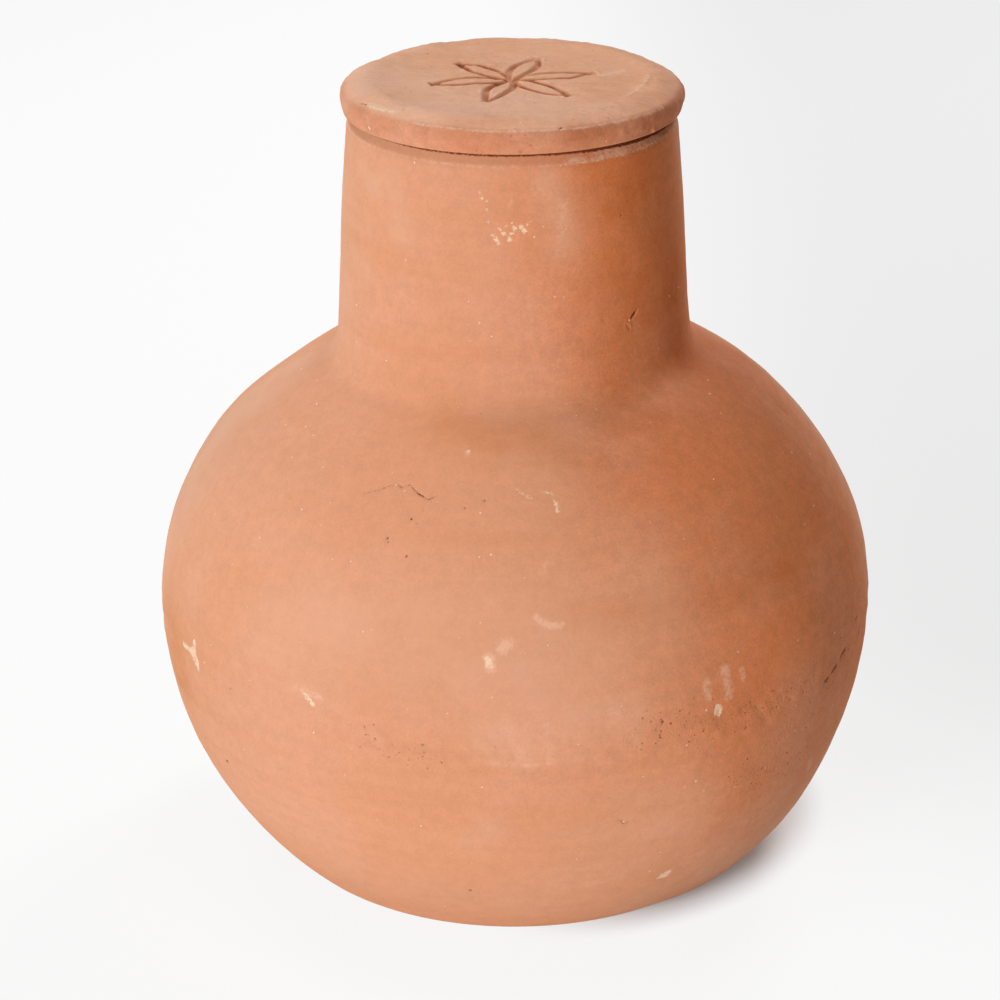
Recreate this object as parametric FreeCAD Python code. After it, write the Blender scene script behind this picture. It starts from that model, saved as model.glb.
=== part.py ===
"""Lidded terracotta jar: a round belly luted from two thrown bowls, a tapered neck and a loose lid.

Millimetres, +Z up. The origin is the centre of the foot, on the surface that the jar stands on.
Every piece is a body of revolution about the Z axis, drawn as a half section in the XZ plane.
"""

import FreeCAD
import Part

import math
import os

# Belly: two half ellipses that meet at the widest circle
BELLY_RADIUS = 123.5
WIDEST_HEIGHT = 92.6
FOOT_RADIUS = 80.8
BELLY_WALL = 8.5
FLOOR_THICKNESS = 11.0

# Underside: a shallow hollow inside the standing ring
HOLLOW_RADIUS = 58.0
HOLLOW_DEPTH = 2.0

# Neck: a collar that narrows from its root to its rim
NECK_ROOT_RADIUS = 60.6
NECK_ROOT_HEIGHT = 182.0
RIM_RADIUS = 55.0
RIM_HEIGHT = 265.4
NECK_WALL = 8.5

# Softened edges of the jar
FOOT_EDGE_ROUND = 12.0
NECK_ROOT_ROUND = 8.0
RIM_OUTER_ROUND = 4.5
RIM_INNER_ROUND = 2.5

# Lid: a slab whose side leans out to its widest circle and then rolls over onto the top
LID_OVERHANG = 2.5
LID_THICKNESS = 10.2
LID_WIDEST_HEIGHT = 4.4
LID_UNDERCUT = 1.2
LID_ROLL_WIDTH = 11.0
DISH_DEPTH = 0.8
DISH_SLOPE_WIDTH = 5.0

# Locating ring under the lid: it drops into the neck and keeps the lid central
RING_CLEARANCE = 2.0
RING_WALL = 8.0
RING_DEPTH = 9.0
RING_TAPER = 1.0
RING_EDGE_ROUND = 2.0

# Two edges nearer than this are one edge
SAME_PLACE = 1e-3

AXIS_POINT = FreeCAD.Vector(0, 0, 0)
AXIS = FreeCAD.Vector(0, 0, 1)


def semi_height(rise, radius):
    """Half height of an ellipse as wide as the belly that has this radius at this rise from its centre."""
    return rise / math.sqrt(1 - (radius / BELLY_RADIUS) ** 2)


# Sizes that follow from the ones above
LOWER_SEMI_HEIGHT = semi_height(WIDEST_HEIGHT, FOOT_RADIUS)
UPPER_SEMI_HEIGHT = semi_height(NECK_ROOT_HEIGHT - WIDEST_HEIGHT, NECK_ROOT_RADIUS)
NECK_SLOPE = (RIM_RADIUS - NECK_ROOT_RADIUS) / (RIM_HEIGHT - NECK_ROOT_HEIGHT)
MOUTH_RADIUS = RIM_RADIUS - NECK_WALL
LID_RADIUS = RIM_RADIUS + LID_OVERHANG
RING_RADIUS = MOUTH_RADIUS - RING_CLEARANCE


def at(radius, height):
    """A point of a half section."""
    return FreeCAD.Vector(radius, 0, height)


def line(start, end):
    """A straight edge."""
    return Part.LineSegment(start, end).toShape()


def dome(radius, depth):
    """A round edge from the axis at this height down to the ground at this radius."""
    ball = (radius**2 + depth**2) / (2 * depth)
    half_way = math.asin(radius / ball) / 2
    middle = at(ball * math.sin(half_way), depth - ball * (1 - math.cos(half_way)))
    return Part.Arc(at(0, depth), middle, at(radius, 0)).toShape()


class BellyCurve:
    """One half ellipse of the belly about the widest circle, above it or below it."""

    def __init__(self, radius, semi_height, above):
        self.radius = radius
        self.semi_height = semi_height
        self.side = 1 if above else -1

    def point_at(self, height):
        """Point of the curve at a height."""
        rise = (height - WIDEST_HEIGHT) / self.semi_height
        return at(self.radius * math.sqrt(1 - rise**2), height)

    def edge(self, from_height, to_height):
        """The stretch of the curve between two heights, as an arc of an ellipse."""
        upright = self.semi_height > self.radius
        long_axis = at(0, self.side) if upright else at(1, 0)
        short_axis = at(1, 0) if upright else at(0, self.side)
        long_half = max(self.radius, self.semi_height)
        short_half = min(self.radius, self.semi_height)
        centre = at(0, WIDEST_HEIGHT)
        ellipse = Part.Ellipse(centre + long_axis * long_half, centre + short_axis * short_half, centre)
        ends = sorted(ellipse.parameter(self.point_at(h)) for h in (from_height, to_height))
        return ellipse.toShape(*ends)

    def height_on_neck(self, rim_radius):
        """Height where the curve crosses the neck's line that has this radius at the rim."""
        radius_at_widest = rim_radius - NECK_SLOPE * (RIM_HEIGHT - WIDEST_HEIGHT)
        squares = (NECK_SLOPE / self.radius) ** 2 + 1 / self.semi_height**2
        cross = radius_at_widest * NECK_SLOPE / self.radius**2
        rest = (radius_at_widest / self.radius) ** 2 - 1
        return WIDEST_HEIGHT + (math.sqrt(cross**2 - squares * rest) - cross) / squares


def turn(edges):
    """The solid that a closed half section sweeps in one turn about the axis."""
    section = Part.Face(Part.Wire(Part.__sortEdges__(edges)))
    return section.revolve(AXIS_POINT, AXIS, 360)


def rounded(solid, radius, corner):
    """The solid with the circular edge through a corner of its half section rounded."""
    ring = [
        edge
        for edge in solid.Edges
        if edge.BoundBox.ZLength < SAME_PLACE
        and abs(edge.BoundBox.ZMax - corner.z) < SAME_PLACE
        and abs(edge.BoundBox.XMax - corner.x) < SAME_PLACE
    ]
    return solid.makeFillet(radius, ring)


def jar():
    """The whole fired jar, before it is parted at its luted joints."""
    lower = BellyCurve(BELLY_RADIUS, LOWER_SEMI_HEIGHT, above=False)
    upper = BellyCurve(BELLY_RADIUS, UPPER_SEMI_HEIGHT, above=True)
    lower_inside = BellyCurve(BELLY_RADIUS - BELLY_WALL, LOWER_SEMI_HEIGHT - BELLY_WALL, above=False)
    upper_inside = BellyCurve(BELLY_RADIUS - BELLY_WALL, UPPER_SEMI_HEIGHT - BELLY_WALL, above=True)

    root = at(NECK_ROOT_RADIUS, NECK_ROOT_HEIGHT)
    rim = at(RIM_RADIUS, RIM_HEIGHT)
    mouth = at(MOUTH_RADIUS, RIM_HEIGHT)
    throat = upper_inside.point_at(upper_inside.height_on_neck(MOUTH_RADIUS))
    floor_edge = lower_inside.point_at(FLOOR_THICKNESS)
    floor_centre = at(0, FLOOR_THICKNESS)
    hollow_centre = at(0, HOLLOW_DEPTH)
    hollow_edge = at(HOLLOW_RADIUS, 0)
    foot_edge = at(FOOT_RADIUS, 0)

    body = turn(
        [
            line(floor_centre, hollow_centre),
            dome(HOLLOW_RADIUS, HOLLOW_DEPTH),
            line(hollow_edge, foot_edge),
            lower.edge(0, WIDEST_HEIGHT),
            upper.edge(WIDEST_HEIGHT, NECK_ROOT_HEIGHT),
            line(root, rim),
            line(rim, mouth),
            line(mouth, throat),
            upper_inside.edge(WIDEST_HEIGHT, throat.z),
            lower_inside.edge(FLOOR_THICKNESS, WIDEST_HEIGHT),
            line(floor_edge, floor_centre),
        ]
    )
    for radius, corner in (
        (FOOT_EDGE_ROUND, foot_edge),
        (NECK_ROOT_ROUND, root),
        (RIM_OUTER_ROUND, rim),
        (RIM_INNER_ROUND, mouth),
    ):
        body = rounded(body, radius, corner)
    return body


def between(solid, low, high):
    """The part of the jar between two heights."""
    slab = Part.makeCylinder(2 * BELLY_RADIUS, high - low, at(0, low))
    return solid.common(slab)


def lid_disc():
    """The lid's slab: flat underneath, rolled at its edge and slightly dished on top."""
    bottom = RIM_HEIGHT
    widest = bottom + LID_WIDEST_HEIGHT
    top = bottom + LID_THICKNESS
    dish_floor = top - DISH_DEPTH
    crown_radius = LID_RADIUS - LID_ROLL_WIDTH
    under_edge = at(LID_RADIUS - LID_UNDERCUT, bottom)
    widest_edge = at(LID_RADIUS, widest)
    crown = at(crown_radius, top)
    dish_edge = at(crown_radius - DISH_SLOPE_WIDTH, dish_floor)
    roll = Part.Ellipse(widest_edge, crown, at(crown_radius, widest))
    return turn(
        [
            line(at(0, bottom), under_edge),
            line(under_edge, widest_edge),
            roll.toShape(roll.parameter(widest_edge), roll.parameter(crown)),
            line(crown, dish_edge),
            line(dish_edge, at(0, dish_floor)),
            line(at(0, dish_floor), at(0, bottom)),
        ]
    )


def lid_locating_ring():
    """The ring luted under the lid, which thins downwards so that it finds the mouth."""
    top = RIM_HEIGHT
    bottom = top - RING_DEPTH
    inside_radius = RING_RADIUS - RING_WALL
    outer_root = at(RING_RADIUS, top)
    inner_root = at(inside_radius, top)
    outer_foot = at(RING_RADIUS - RING_TAPER, bottom)
    inner_foot = at(inside_radius + RING_TAPER, bottom)
    ring = turn(
        [
            line(inner_root, outer_root),
            line(outer_root, outer_foot),
            line(outer_foot, inner_foot),
            line(inner_foot, inner_root),
        ]
    )
    for foot in (outer_foot, inner_foot):
        ring = rounded(ring, RING_EDGE_ROUND, foot)
    return ring


def pieces():
    """Every piece by its name."""
    body = jar()
    return {
        "base_bowl": between(body, 0, WIDEST_HEIGHT),
        "shoulder_bowl": between(body, WIDEST_HEIGHT, NECK_ROOT_HEIGHT),
        "neck_collar": between(body, NECK_ROOT_HEIGHT, RIM_HEIGHT),
        "lid_disc": lid_disc(),
        "lid_locating_ring": lid_locating_ring(),
    }


def main():
    """Write each piece to its own file."""
    os.makedirs("parts", exist_ok=True)
    for name, shape in pieces().items():
        print(f"{name}: {len(shape.Solids)} solid, valid {shape.isValid()}, {shape.Volume / 1000:.1f} cm3")
        shape.Solids[0].exportStep(f"parts/{name}.step")


main()
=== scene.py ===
"""Looks of a lidded terracotta jar: hand-made clay surfaces, a carved lid, a pale floor and soft light.

Every clay surface is a function of two parameters: the angle round the jar's axis, and the place along a
half section of the piece. Angles start at the side that faces the camera (-Y) and grow towards +X. Lengths
are metres, apart from values whose name ends in _mm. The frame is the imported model's own, +Z up, with the
origin under the foot.
"""

import logging
import math
from collections.abc import Callable, Mapping, Sequence
from dataclasses import dataclass, field
from enum import Enum

import bpy
import numpy as np
from mathutils import Matrix, Vector


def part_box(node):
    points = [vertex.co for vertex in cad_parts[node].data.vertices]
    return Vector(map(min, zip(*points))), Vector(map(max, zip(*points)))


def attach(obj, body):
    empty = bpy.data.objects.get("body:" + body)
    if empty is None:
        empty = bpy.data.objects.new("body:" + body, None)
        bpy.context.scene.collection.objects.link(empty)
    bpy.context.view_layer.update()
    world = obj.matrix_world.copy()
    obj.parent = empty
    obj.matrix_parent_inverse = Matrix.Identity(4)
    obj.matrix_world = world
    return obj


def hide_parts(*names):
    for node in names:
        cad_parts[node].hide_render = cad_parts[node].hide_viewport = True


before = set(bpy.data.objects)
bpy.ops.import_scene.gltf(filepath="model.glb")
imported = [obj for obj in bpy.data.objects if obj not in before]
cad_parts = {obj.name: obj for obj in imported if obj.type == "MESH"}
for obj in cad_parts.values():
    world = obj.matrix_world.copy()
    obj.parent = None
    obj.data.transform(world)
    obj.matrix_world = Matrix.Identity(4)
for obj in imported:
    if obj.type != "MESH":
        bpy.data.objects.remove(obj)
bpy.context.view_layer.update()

Array = np.ndarray
Colour = tuple[float, float, float, float]
Path = Sequence[tuple[float, float]]
Socket = bpy.types.NodeSocket
MM = 0.001
LOG = logging.getLogger("clay_jar")


def screen_colour(red: float, green: float, blue: float) -> Colour:
    """The linear colour, as shaders take it, of a screen colour.

    Args:
        red: Red level, 0 to 255.
        green: Green level, 0 to 255.
        blue: Blue level, 0 to 255.

    Returns:
        Linear red, green, blue and an alpha of 1.
    """
    levels = np.array([red, green, blue]) / 255
    linear = np.where(levels <= 0.04045, levels / 12.92, ((levels + 0.055) / 1.055) ** 2.4)
    return (*map(float, linear), 1.0)


def smooth_step(low: float, high: float, value: Array) -> Array:
    """A soft ramp: 0 at low, 1 at high, and 3 t^2 - 2 t^3 between them.

    Args:
        low: Value where the ramp starts.
        high: Value where the ramp ends; it may lie below low.
        value: Values to map.

    Returns:
        The ramp at each value.
    """
    share = np.clip((value - low) / (high - low), 0, 1)
    return share * share * (3 - 2 * share)


def bell(centre: float, half_width: float, value: Array) -> Array:
    """A bell curve: exp(-((value - centre) / half_width)^2)."""
    return np.exp(-(((value - centre) / half_width) ** 2))


def graded(start: float, end: float, step: float, finer: Sequence[tuple[float, float, float]] = ()) -> Array:
    """Places from start to end that lie closer together inside some stretches.

    The density of places, 1 / step, is summed along the range, and places are read off at equal shares.

    Args:
        start: First place.
        end: Last place.
        step: Usual distance between places.
        finer: Stretches as (low, high, step), each with a smaller step.

    Returns:
        The places, in rising order.
    """
    line = np.linspace(start, end, 6000)
    density = np.full(line.shape, 1 / step)
    for low, high, fine_step in finer:
        fade = 0.15 * (high - low)
        inside = smooth_step(low - fade, low, line) * smooth_step(high + fade, high, line)
        density = np.maximum(density, inside / fine_step)
    total = np.concatenate([[0], np.cumsum((density[1:] + density[:-1]) / 2 * np.diff(line))])
    count = int(math.ceil(total[-1])) + 1
    return np.interp(np.linspace(0, total[-1], count), total, line)


@dataclass(frozen=True)
class Ripple:
    """A smooth random field: many plane waves of random direction, length and phase, added up.

    field(p) = sqrt(2 / n) * sum of cos(2 pi d . p / length + phase), so its spread is about 1.

    Args:
        seed: Start of the random draws.
        wavelength: Middle wavelength.
        flatten: How much faster the field changes along Z than across.
        waves: Number of waves.
    """

    seed: int
    wavelength: float
    flatten: float = 1.0
    waves: int = 40

    def at(self, points: Array) -> Array:
        """The field at points.

        Args:
            points: Array whose last axis holds x, y and z.

        Returns:
            One value per point.
        """
        random = np.random.default_rng(self.seed)
        directions = random.normal(size=(self.waves, 3))
        directions /= np.linalg.norm(directions, axis=1, keepdims=True)
        lengths = self.wavelength * np.exp(random.uniform(-0.5, 0.5, self.waves))
        phases = random.uniform(0, 2 * np.pi, self.waves)
        turns = 2 * np.pi * directions / lengths[:, None] * np.array([1, 1, self.flatten])
        return np.cos(points @ turns.T + phases).sum(-1) * math.sqrt(2 / self.waves)


class HalfSection:
    """Half of a turned piece's cross-section, as a fine line of (radius, height) points.

    The line runs so that the clay lies on its left, which makes (dz, -dr) the outward normal.
    """

    def __init__(self, points: Array) -> None:
        """Measures the line and works out its normals.

        Args:
            points: Array of shape (n, 2).
        """
        steps = np.linalg.norm(np.diff(points, axis=0), axis=1)
        self.points = points
        self.places = np.concatenate([[0], np.cumsum(steps)])
        tangents = np.gradient(points, self.places, axis=0)
        tangents /= np.linalg.norm(tangents, axis=1, keepdims=True)
        self.normals = np.stack([tangents[:, 1], -tangents[:, 0]], axis=1)

    @property
    def length(self) -> float:
        """Length of the whole line."""
        return float(self.places[-1])

    def read(self, places: Array) -> tuple[Array, Array]:
        """Points and outward normals at places along the line.

        Args:
            places: Lengths from the line's start.

        Returns:
            Two arrays of shape (n, 2), each of (radius, height) pairs.
        """
        columns = [np.interp(places, self.places, c) for c in (*self.points.T, *self.normals.T)]
        return np.stack(columns[:2], axis=1), np.stack(columns[2:], axis=1)

    def stops(self, path: Path, places: Array) -> Array:
        """A mark's path as rows of (angle, place, radius), from its places on the line."""
        radii = self.read(places)[0][:, 0]
        return np.stack([np.radians([angle for angle, _ in path]), places, radii], axis=1)

    def place_near(self, radius: float, height: float) -> float:
        """The place on the line that is nearest to a point."""
        gaps = np.linalg.norm(self.points - np.array([radius, height]), axis=1)
        return float(self.places[int(np.argmin(gaps))])


def straight(start: tuple[float, float], end: tuple[float, float]) -> Array:
    """A straight run of a half section, from start to end."""
    return np.linspace(start, end, 200)


def joined(runs: Sequence[Array], reaches: Sequence[float], step: float = 0.2 * MM) -> Array:
    """Runs of a half section joined end to end, with the corners between them softened.

    Each corner c is cut back by its reach along both runs, to a and b, and the gap is closed by the curve
    (1 - t)^2 a + 2 t (1 - t) c + t^2 b.

    Args:
        runs: Lines of (radius, height) points; each starts where the one before ends.
        reaches: How far each corner is cut back, one for each pair of runs.
        step: Distance between the points of the result.

    Returns:
        The whole line.
    """
    cuts = [0.0, *reaches, 0.0]
    pieces = []
    for number, run in enumerate(runs):
        section = HalfSection(run)
        low, high = cuts[number], section.length - cuts[number + 1]
        places = np.linspace(low, high, max(3, int((high - low) / step)))
        pieces.append(section.read(places)[0])
    line = [pieces[0]]
    for run, piece, reach in zip(runs[1:], pieces[1:], reaches):
        t = np.linspace(0, 1, max(5, int(2 * reach / step)))[1:-1, None]
        start, corner, end = line[-1][-1], run[0], piece[0]
        line.append((1 - t) ** 2 * start + 2 * t * (1 - t) * corner + t**2 * end)
        line.append(piece)
    return np.concatenate(line)


class MarkKind(Enum):
    """What a mark on the clay is; the value is the mesh attribute that carries it to the shader."""

    FLAKE = "flake"
    DUST = "dust"
    # Stains, and painted shade on the neck's right side, in the lid's grooves and on the rim's bevel
    STAIN_AND_SHADE = "stain"
    PITTED = "pitted"
    # Painted shade: marks of this kind darken cracks, gouges, pits and the gap under the lid
    CREVICE_SHADE = "crevice"
    # Pale blooms, and painted sheen and painted light
    BLOOM = "bloom"


FLAKE = MarkKind.FLAKE
DUST = MarkKind.DUST
STAIN_AND_SHADE = MarkKind.STAIN_AND_SHADE
PITTED = MarkKind.PITTED
CREVICE_SHADE = MarkKind.CREVICE_SHADE
BLOOM = MarkKind.BLOOM
FLASH_AND_SHADE_FIELD = "flash_and_shade"
FLAKE_OUTSIDE_MM = -3.0
FRONT_DEG = 85
SHARP_DEG = 55


@dataclass(frozen=True)
class Mark:
    """One mark on a clay surface: a stroke along a path.

    Args:
        kind: What the mark is.
        path: Points of the stroke as (angle in degrees, height in mm); on the lid the second value is the
            place past its widest circle, in mm.
        half_width_mm: Half width of the stroke.
        depth_mm: How far it is pressed into the clay, negative where it stands out.
        strength: Weight of its colour, 0 to 1.
        tapered: Whether the stroke narrows towards both ends.
    """

    kind: MarkKind
    path: Path
    half_width_mm: float
    depth_mm: float = 0.0
    strength: float = 1.0
    tapered: bool = False

    def distance_mm(self, across: Array, along: Array, stops: Array) -> tuple[Array, Array]:
        """Distance of points from the stroke's path on the unrolled surface.

        Each stretch of the path gives |p - nearest point|, and the smallest counts.

        Args:
            across: Points' places round the jar, in mm.
            along: Points' places along the half section, in mm.
            stops: The path's own points in the same two places, shape (n, 2).

        Returns:
            The distances, and the share of the path at each nearest point.
        """
        if len(stops) == 1:
            return np.hypot(across - stops[0, 0], along - stops[0, 1]), np.full(across.shape, 0.5)
        best = np.full(across.shape, np.inf)
        share = np.zeros(across.shape)
        spans = len(stops) - 1
        for number, (start, end) in enumerate(zip(stops[:-1], stops[1:])):
            run = end - start
            reach = ((across - start[0]) * run[0] + (along - start[1]) * run[1]) / (run @ run)
            reach = np.clip(reach, 0, 1)
            gap = np.hypot(across - start[0] - reach * run[0], along - start[1] - reach * run[1])
            nearer = gap < best
            best = np.where(nearer, gap, best)
            share = np.where(nearer, (number + reach) / spans, share)
        return best, share


def spots(
    kind: MarkKind, half_width_mm: float, depth_mm: float, strength: float, places: Path
) -> tuple[Mark, ...]:
    """Small round marks of one size, one at each place."""
    return tuple(Mark(kind, (place,), half_width_mm, depth_mm, strength) for place in places)


@dataclass
class ClaySheet:
    """A grid of surface points on one stretch of a half section, before it becomes a mesh.

    Args:
        points: Points of shape (rows, columns, 3).
        fields: Values per point for the shader, by attribute name.
    """

    points: Array
    fields: dict[str, Array]


def turned_points(radius: Array, height: Array, angles: Array) -> Array:
    """Points on a turned surface: x = r sin a, y = -r cos a, z = h.

    Args:
        radius: Radius of each row, or of each row and column.
        height: Height in the same form.
        angles: Angles of the columns.

    Returns:
        Points of shape (rows, columns, 3).
    """
    shape = np.broadcast_shapes(radius.shape, (1, len(angles)))
    x = radius * np.sin(angles)
    y = -radius * np.cos(angles)
    return np.stack([x, y, np.broadcast_to(height, shape)], axis=-1)


def moved_points(line: Array, normal: Array, relief: Array, angles: Array) -> Array:
    """Turned points that are moved along the outward normal: (r, z) + relief n.

    Args:
        line: Radius and height of each row.
        normal: Outward normal of each row.
        relief: How far each point is moved.
        angles: Angles of the columns.

    Returns:
        Points of shape (rows, columns, 3).
    """
    radius = line[:, :1] + normal[:, :1] * relief
    height = line[:, 1:] + normal[:, 1:] * relief
    return turned_points(radius, height, angles)


def column_angles(
    radius: float, front_step: float, back_step: float, finer: Sequence[tuple[float, float, float]] = ()
) -> Array:
    """Angles all round a piece, closer together on the side that faces the camera.

    Args:
        radius: Radius that the steps are measured at.
        front_step: Distance between columns in front.
        back_step: Distance between columns behind.
        finer: Stretches as (low, high, step), with low and high in degrees.

    Returns:
        The angles, in rising order.
    """
    stretches = [(-FRONT_DEG, FRONT_DEG, front_step), *finer]
    turns = [(math.radians(low), math.radians(high), step / radius) for low, high, step in stretches]
    return graded(-np.pi, np.pi, back_step / radius, turns)[:-1]


def at_least(fields: dict[str, Array], kind: MarkKind, value: Array | float) -> None:
    """Raises the field of one kind of mark to a value wherever it is lower."""
    fields[kind.value] = np.maximum(fields[kind.value], value)


def marked(
    marks: Sequence[Mark], angles: Array, places: Array, stops_of: Callable[[Path], Array]
) -> tuple[dict[str, Array], Array]:
    """Shader fields and relief of all marks on one sheet.

    Args:
        marks: The marks.
        angles: Angles of the columns.
        places: Places of the rows.
        stops_of: Function that turns a mark's path into (angle, place, radius) rows.

    Returns:
        Fields by attribute name, and the depth in mm that is pressed into the clay.
    """
    shape = (len(places), len(angles))
    fields = {kind.value: np.zeros(shape) for kind in MarkKind}
    fields[FLAKE.value] += FLAKE_OUTSIDE_MM
    depth = np.zeros(shape)
    along = places / MM
    for mark in marks:
        stops = stops_of(mark.path)
        middle = stops[:, 0].mean()
        radius_mm = stops[:, 2].mean() / MM
        across = ((angles - middle + np.pi) % (2 * np.pi) - np.pi) * radius_mm
        path = np.stack([(stops[:, 0] - middle) * radius_mm, stops[:, 1] / MM], axis=1)
        margin = 3 * mark.half_width_mm - FLAKE_OUTSIDE_MM
        low, high = path.min(0) - margin, path.max(0) + margin
        columns = np.nonzero((across > low[0]) & (across < high[0]))[0]
        rows = np.nonzero((along > low[1]) & (along < high[1]))[0]
        if not len(columns) or not len(rows):
            continue
        window = np.ix_(rows, columns)
        gap, share = mark.distance_mm(*np.meshgrid(across[columns], along[rows]), path)
        half_width = mark.half_width_mm * (0.3 + 0.7 * np.sin(np.pi * share) if mark.tapered else 1.0)
        weight = np.exp(-((gap / half_width) ** 2))
        depth[window] += mark.depth_mm * weight
        layer = fields[mark.kind.value]
        value = half_width - gap if mark.kind is FLAKE else mark.strength * weight
        layer[window] = np.maximum(layer[window], value)
    return fields, depth


def shell_object(name: str, sheets: Sequence[ClaySheet], poles: bool) -> bpy.types.Object:
    """A closed mesh made of sheets that follow each other along a half section.

    Rows are joined by quads all round. With poles, the first and last rows are closed by fans of triangles
    to a point on the axis; without them, the last row joins the first.

    Args:
        name: Name of the object.
        sheets: Sheets in order, all with the same angles.
        poles: Whether the half section starts and ends on the axis.

    Returns:
        The new object, smooth-shaded, with its fields as mesh attributes.
    """
    points = np.concatenate([s.points for s in sheets])
    values = {key: np.concatenate([s.fields[key] for s in sheets]).reshape(-1) for key in sheets[0].fields}
    rows, columns = points.shape[:2]
    index = np.arange(rows * columns).reshape(rows, columns)
    if not poles:
        index = np.concatenate([index, index[:1]])
    after = np.roll(index, -1, axis=1)
    quads = np.stack([index[:-1], after[:-1], after[1:], index[1:]], axis=-1).reshape(-1, 4)
    vertices = points.reshape(-1, 3)
    triangles = np.zeros((0, 3), int)
    if poles:
        first, last = len(vertices), len(vertices) + 1
        vertices = np.concatenate([vertices, [points[0].mean(0)], [points[-1].mean(0)]])
        values = {key: np.concatenate([v, [v[0], v[-1]]]) for key, v in values.items()}
        start_fan = np.stack([np.full(columns, first), after[0], index[0]], axis=-1)
        end_fan = np.stack([np.full(columns, last), index[-1], after[-1]], axis=-1)
        triangles = np.concatenate([start_fan, end_fan])
    return mesh_object(name, vertices, quads, triangles, values)


def linked(name: str, data: bpy.types.ID) -> bpy.types.Object:
    """A new object in the scene that shows some data.

    Args:
        name: Name of the object.
        data: Its mesh, lamp or camera data.

    Returns:
        The object.
    """
    thing = bpy.data.objects.new(name, data)
    bpy.context.scene.collection.objects.link(thing)
    return thing


def mesh_object(
    name: str, vertices: Array, quads: Array, triangles: Array, values: Mapping[str, Array]
) -> bpy.types.Object:
    """A mesh object from arrays, with outward faces.

    The signed volume, a sixth of the sum of a . (b x c) over the triangles, is negative where faces point
    inwards.

    Args:
        name: Name of the object.
        vertices: Points of shape (n, 3).
        quads: Corner numbers of shape (n, 4).
        triangles: Corner numbers of shape (n, 3).
        values: One value per vertex, by attribute name.

    Returns:
        The object, linked to the scene.
    """
    corners = np.concatenate([quads[:, [0, 1, 2]], quads[:, [0, 2, 3]], triangles])
    a, b, c = (vertices[corners[:, i]] for i in range(3))
    if np.einsum("ij,ij->", a, np.cross(b, c)) < 0:
        quads, triangles = quads[:, ::-1], triangles[:, ::-1]
    loops = np.concatenate([quads.reshape(-1), triangles.reshape(-1)]).astype(np.int32)
    sizes = np.concatenate([np.full(len(quads), 4), np.full(len(triangles), 3)])
    starts = np.concatenate([[0], np.cumsum(sizes)[:-1]]).astype(np.int32)
    mesh = bpy.data.meshes.new(name)
    mesh.vertices.add(len(vertices))
    mesh.vertices.foreach_set("co", vertices.astype(np.float32).reshape(-1))
    mesh.loops.add(len(loops))
    mesh.loops.foreach_set("vertex_index", loops)
    mesh.polygons.add(len(sizes))
    mesh.polygons.foreach_set("loop_start", starts)
    mesh.polygons.foreach_set("use_smooth", np.ones(len(sizes), bool))
    mesh.update(calc_edges=True)
    mesh.validate()
    mesh.set_sharp_from_angle(angle=math.radians(SHARP_DEG))
    for key, value in values.items():
        attribute = mesh.attributes.new(key, "FLOAT", "POINT")
        attribute.data.foreach_set("value", value.astype(np.float32))
    return linked(name, mesh)


def dress(piece: bpy.types.Object, node: str, body: str, clay: bpy.types.Material) -> None:
    """Gives a piece its clay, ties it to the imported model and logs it.

    Args:
        piece: The piece.
        node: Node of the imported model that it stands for.
        body: Body that it moves with.
        clay: Its material.
    """
    piece.data.materials.append(clay)
    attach(piece, body)
    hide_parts(node)
    triangles = sum(len(polygon.vertices) - 2 for polygon in piece.data.polygons)
    LOG.info("%s: %d triangles", piece.name, triangles)


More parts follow.
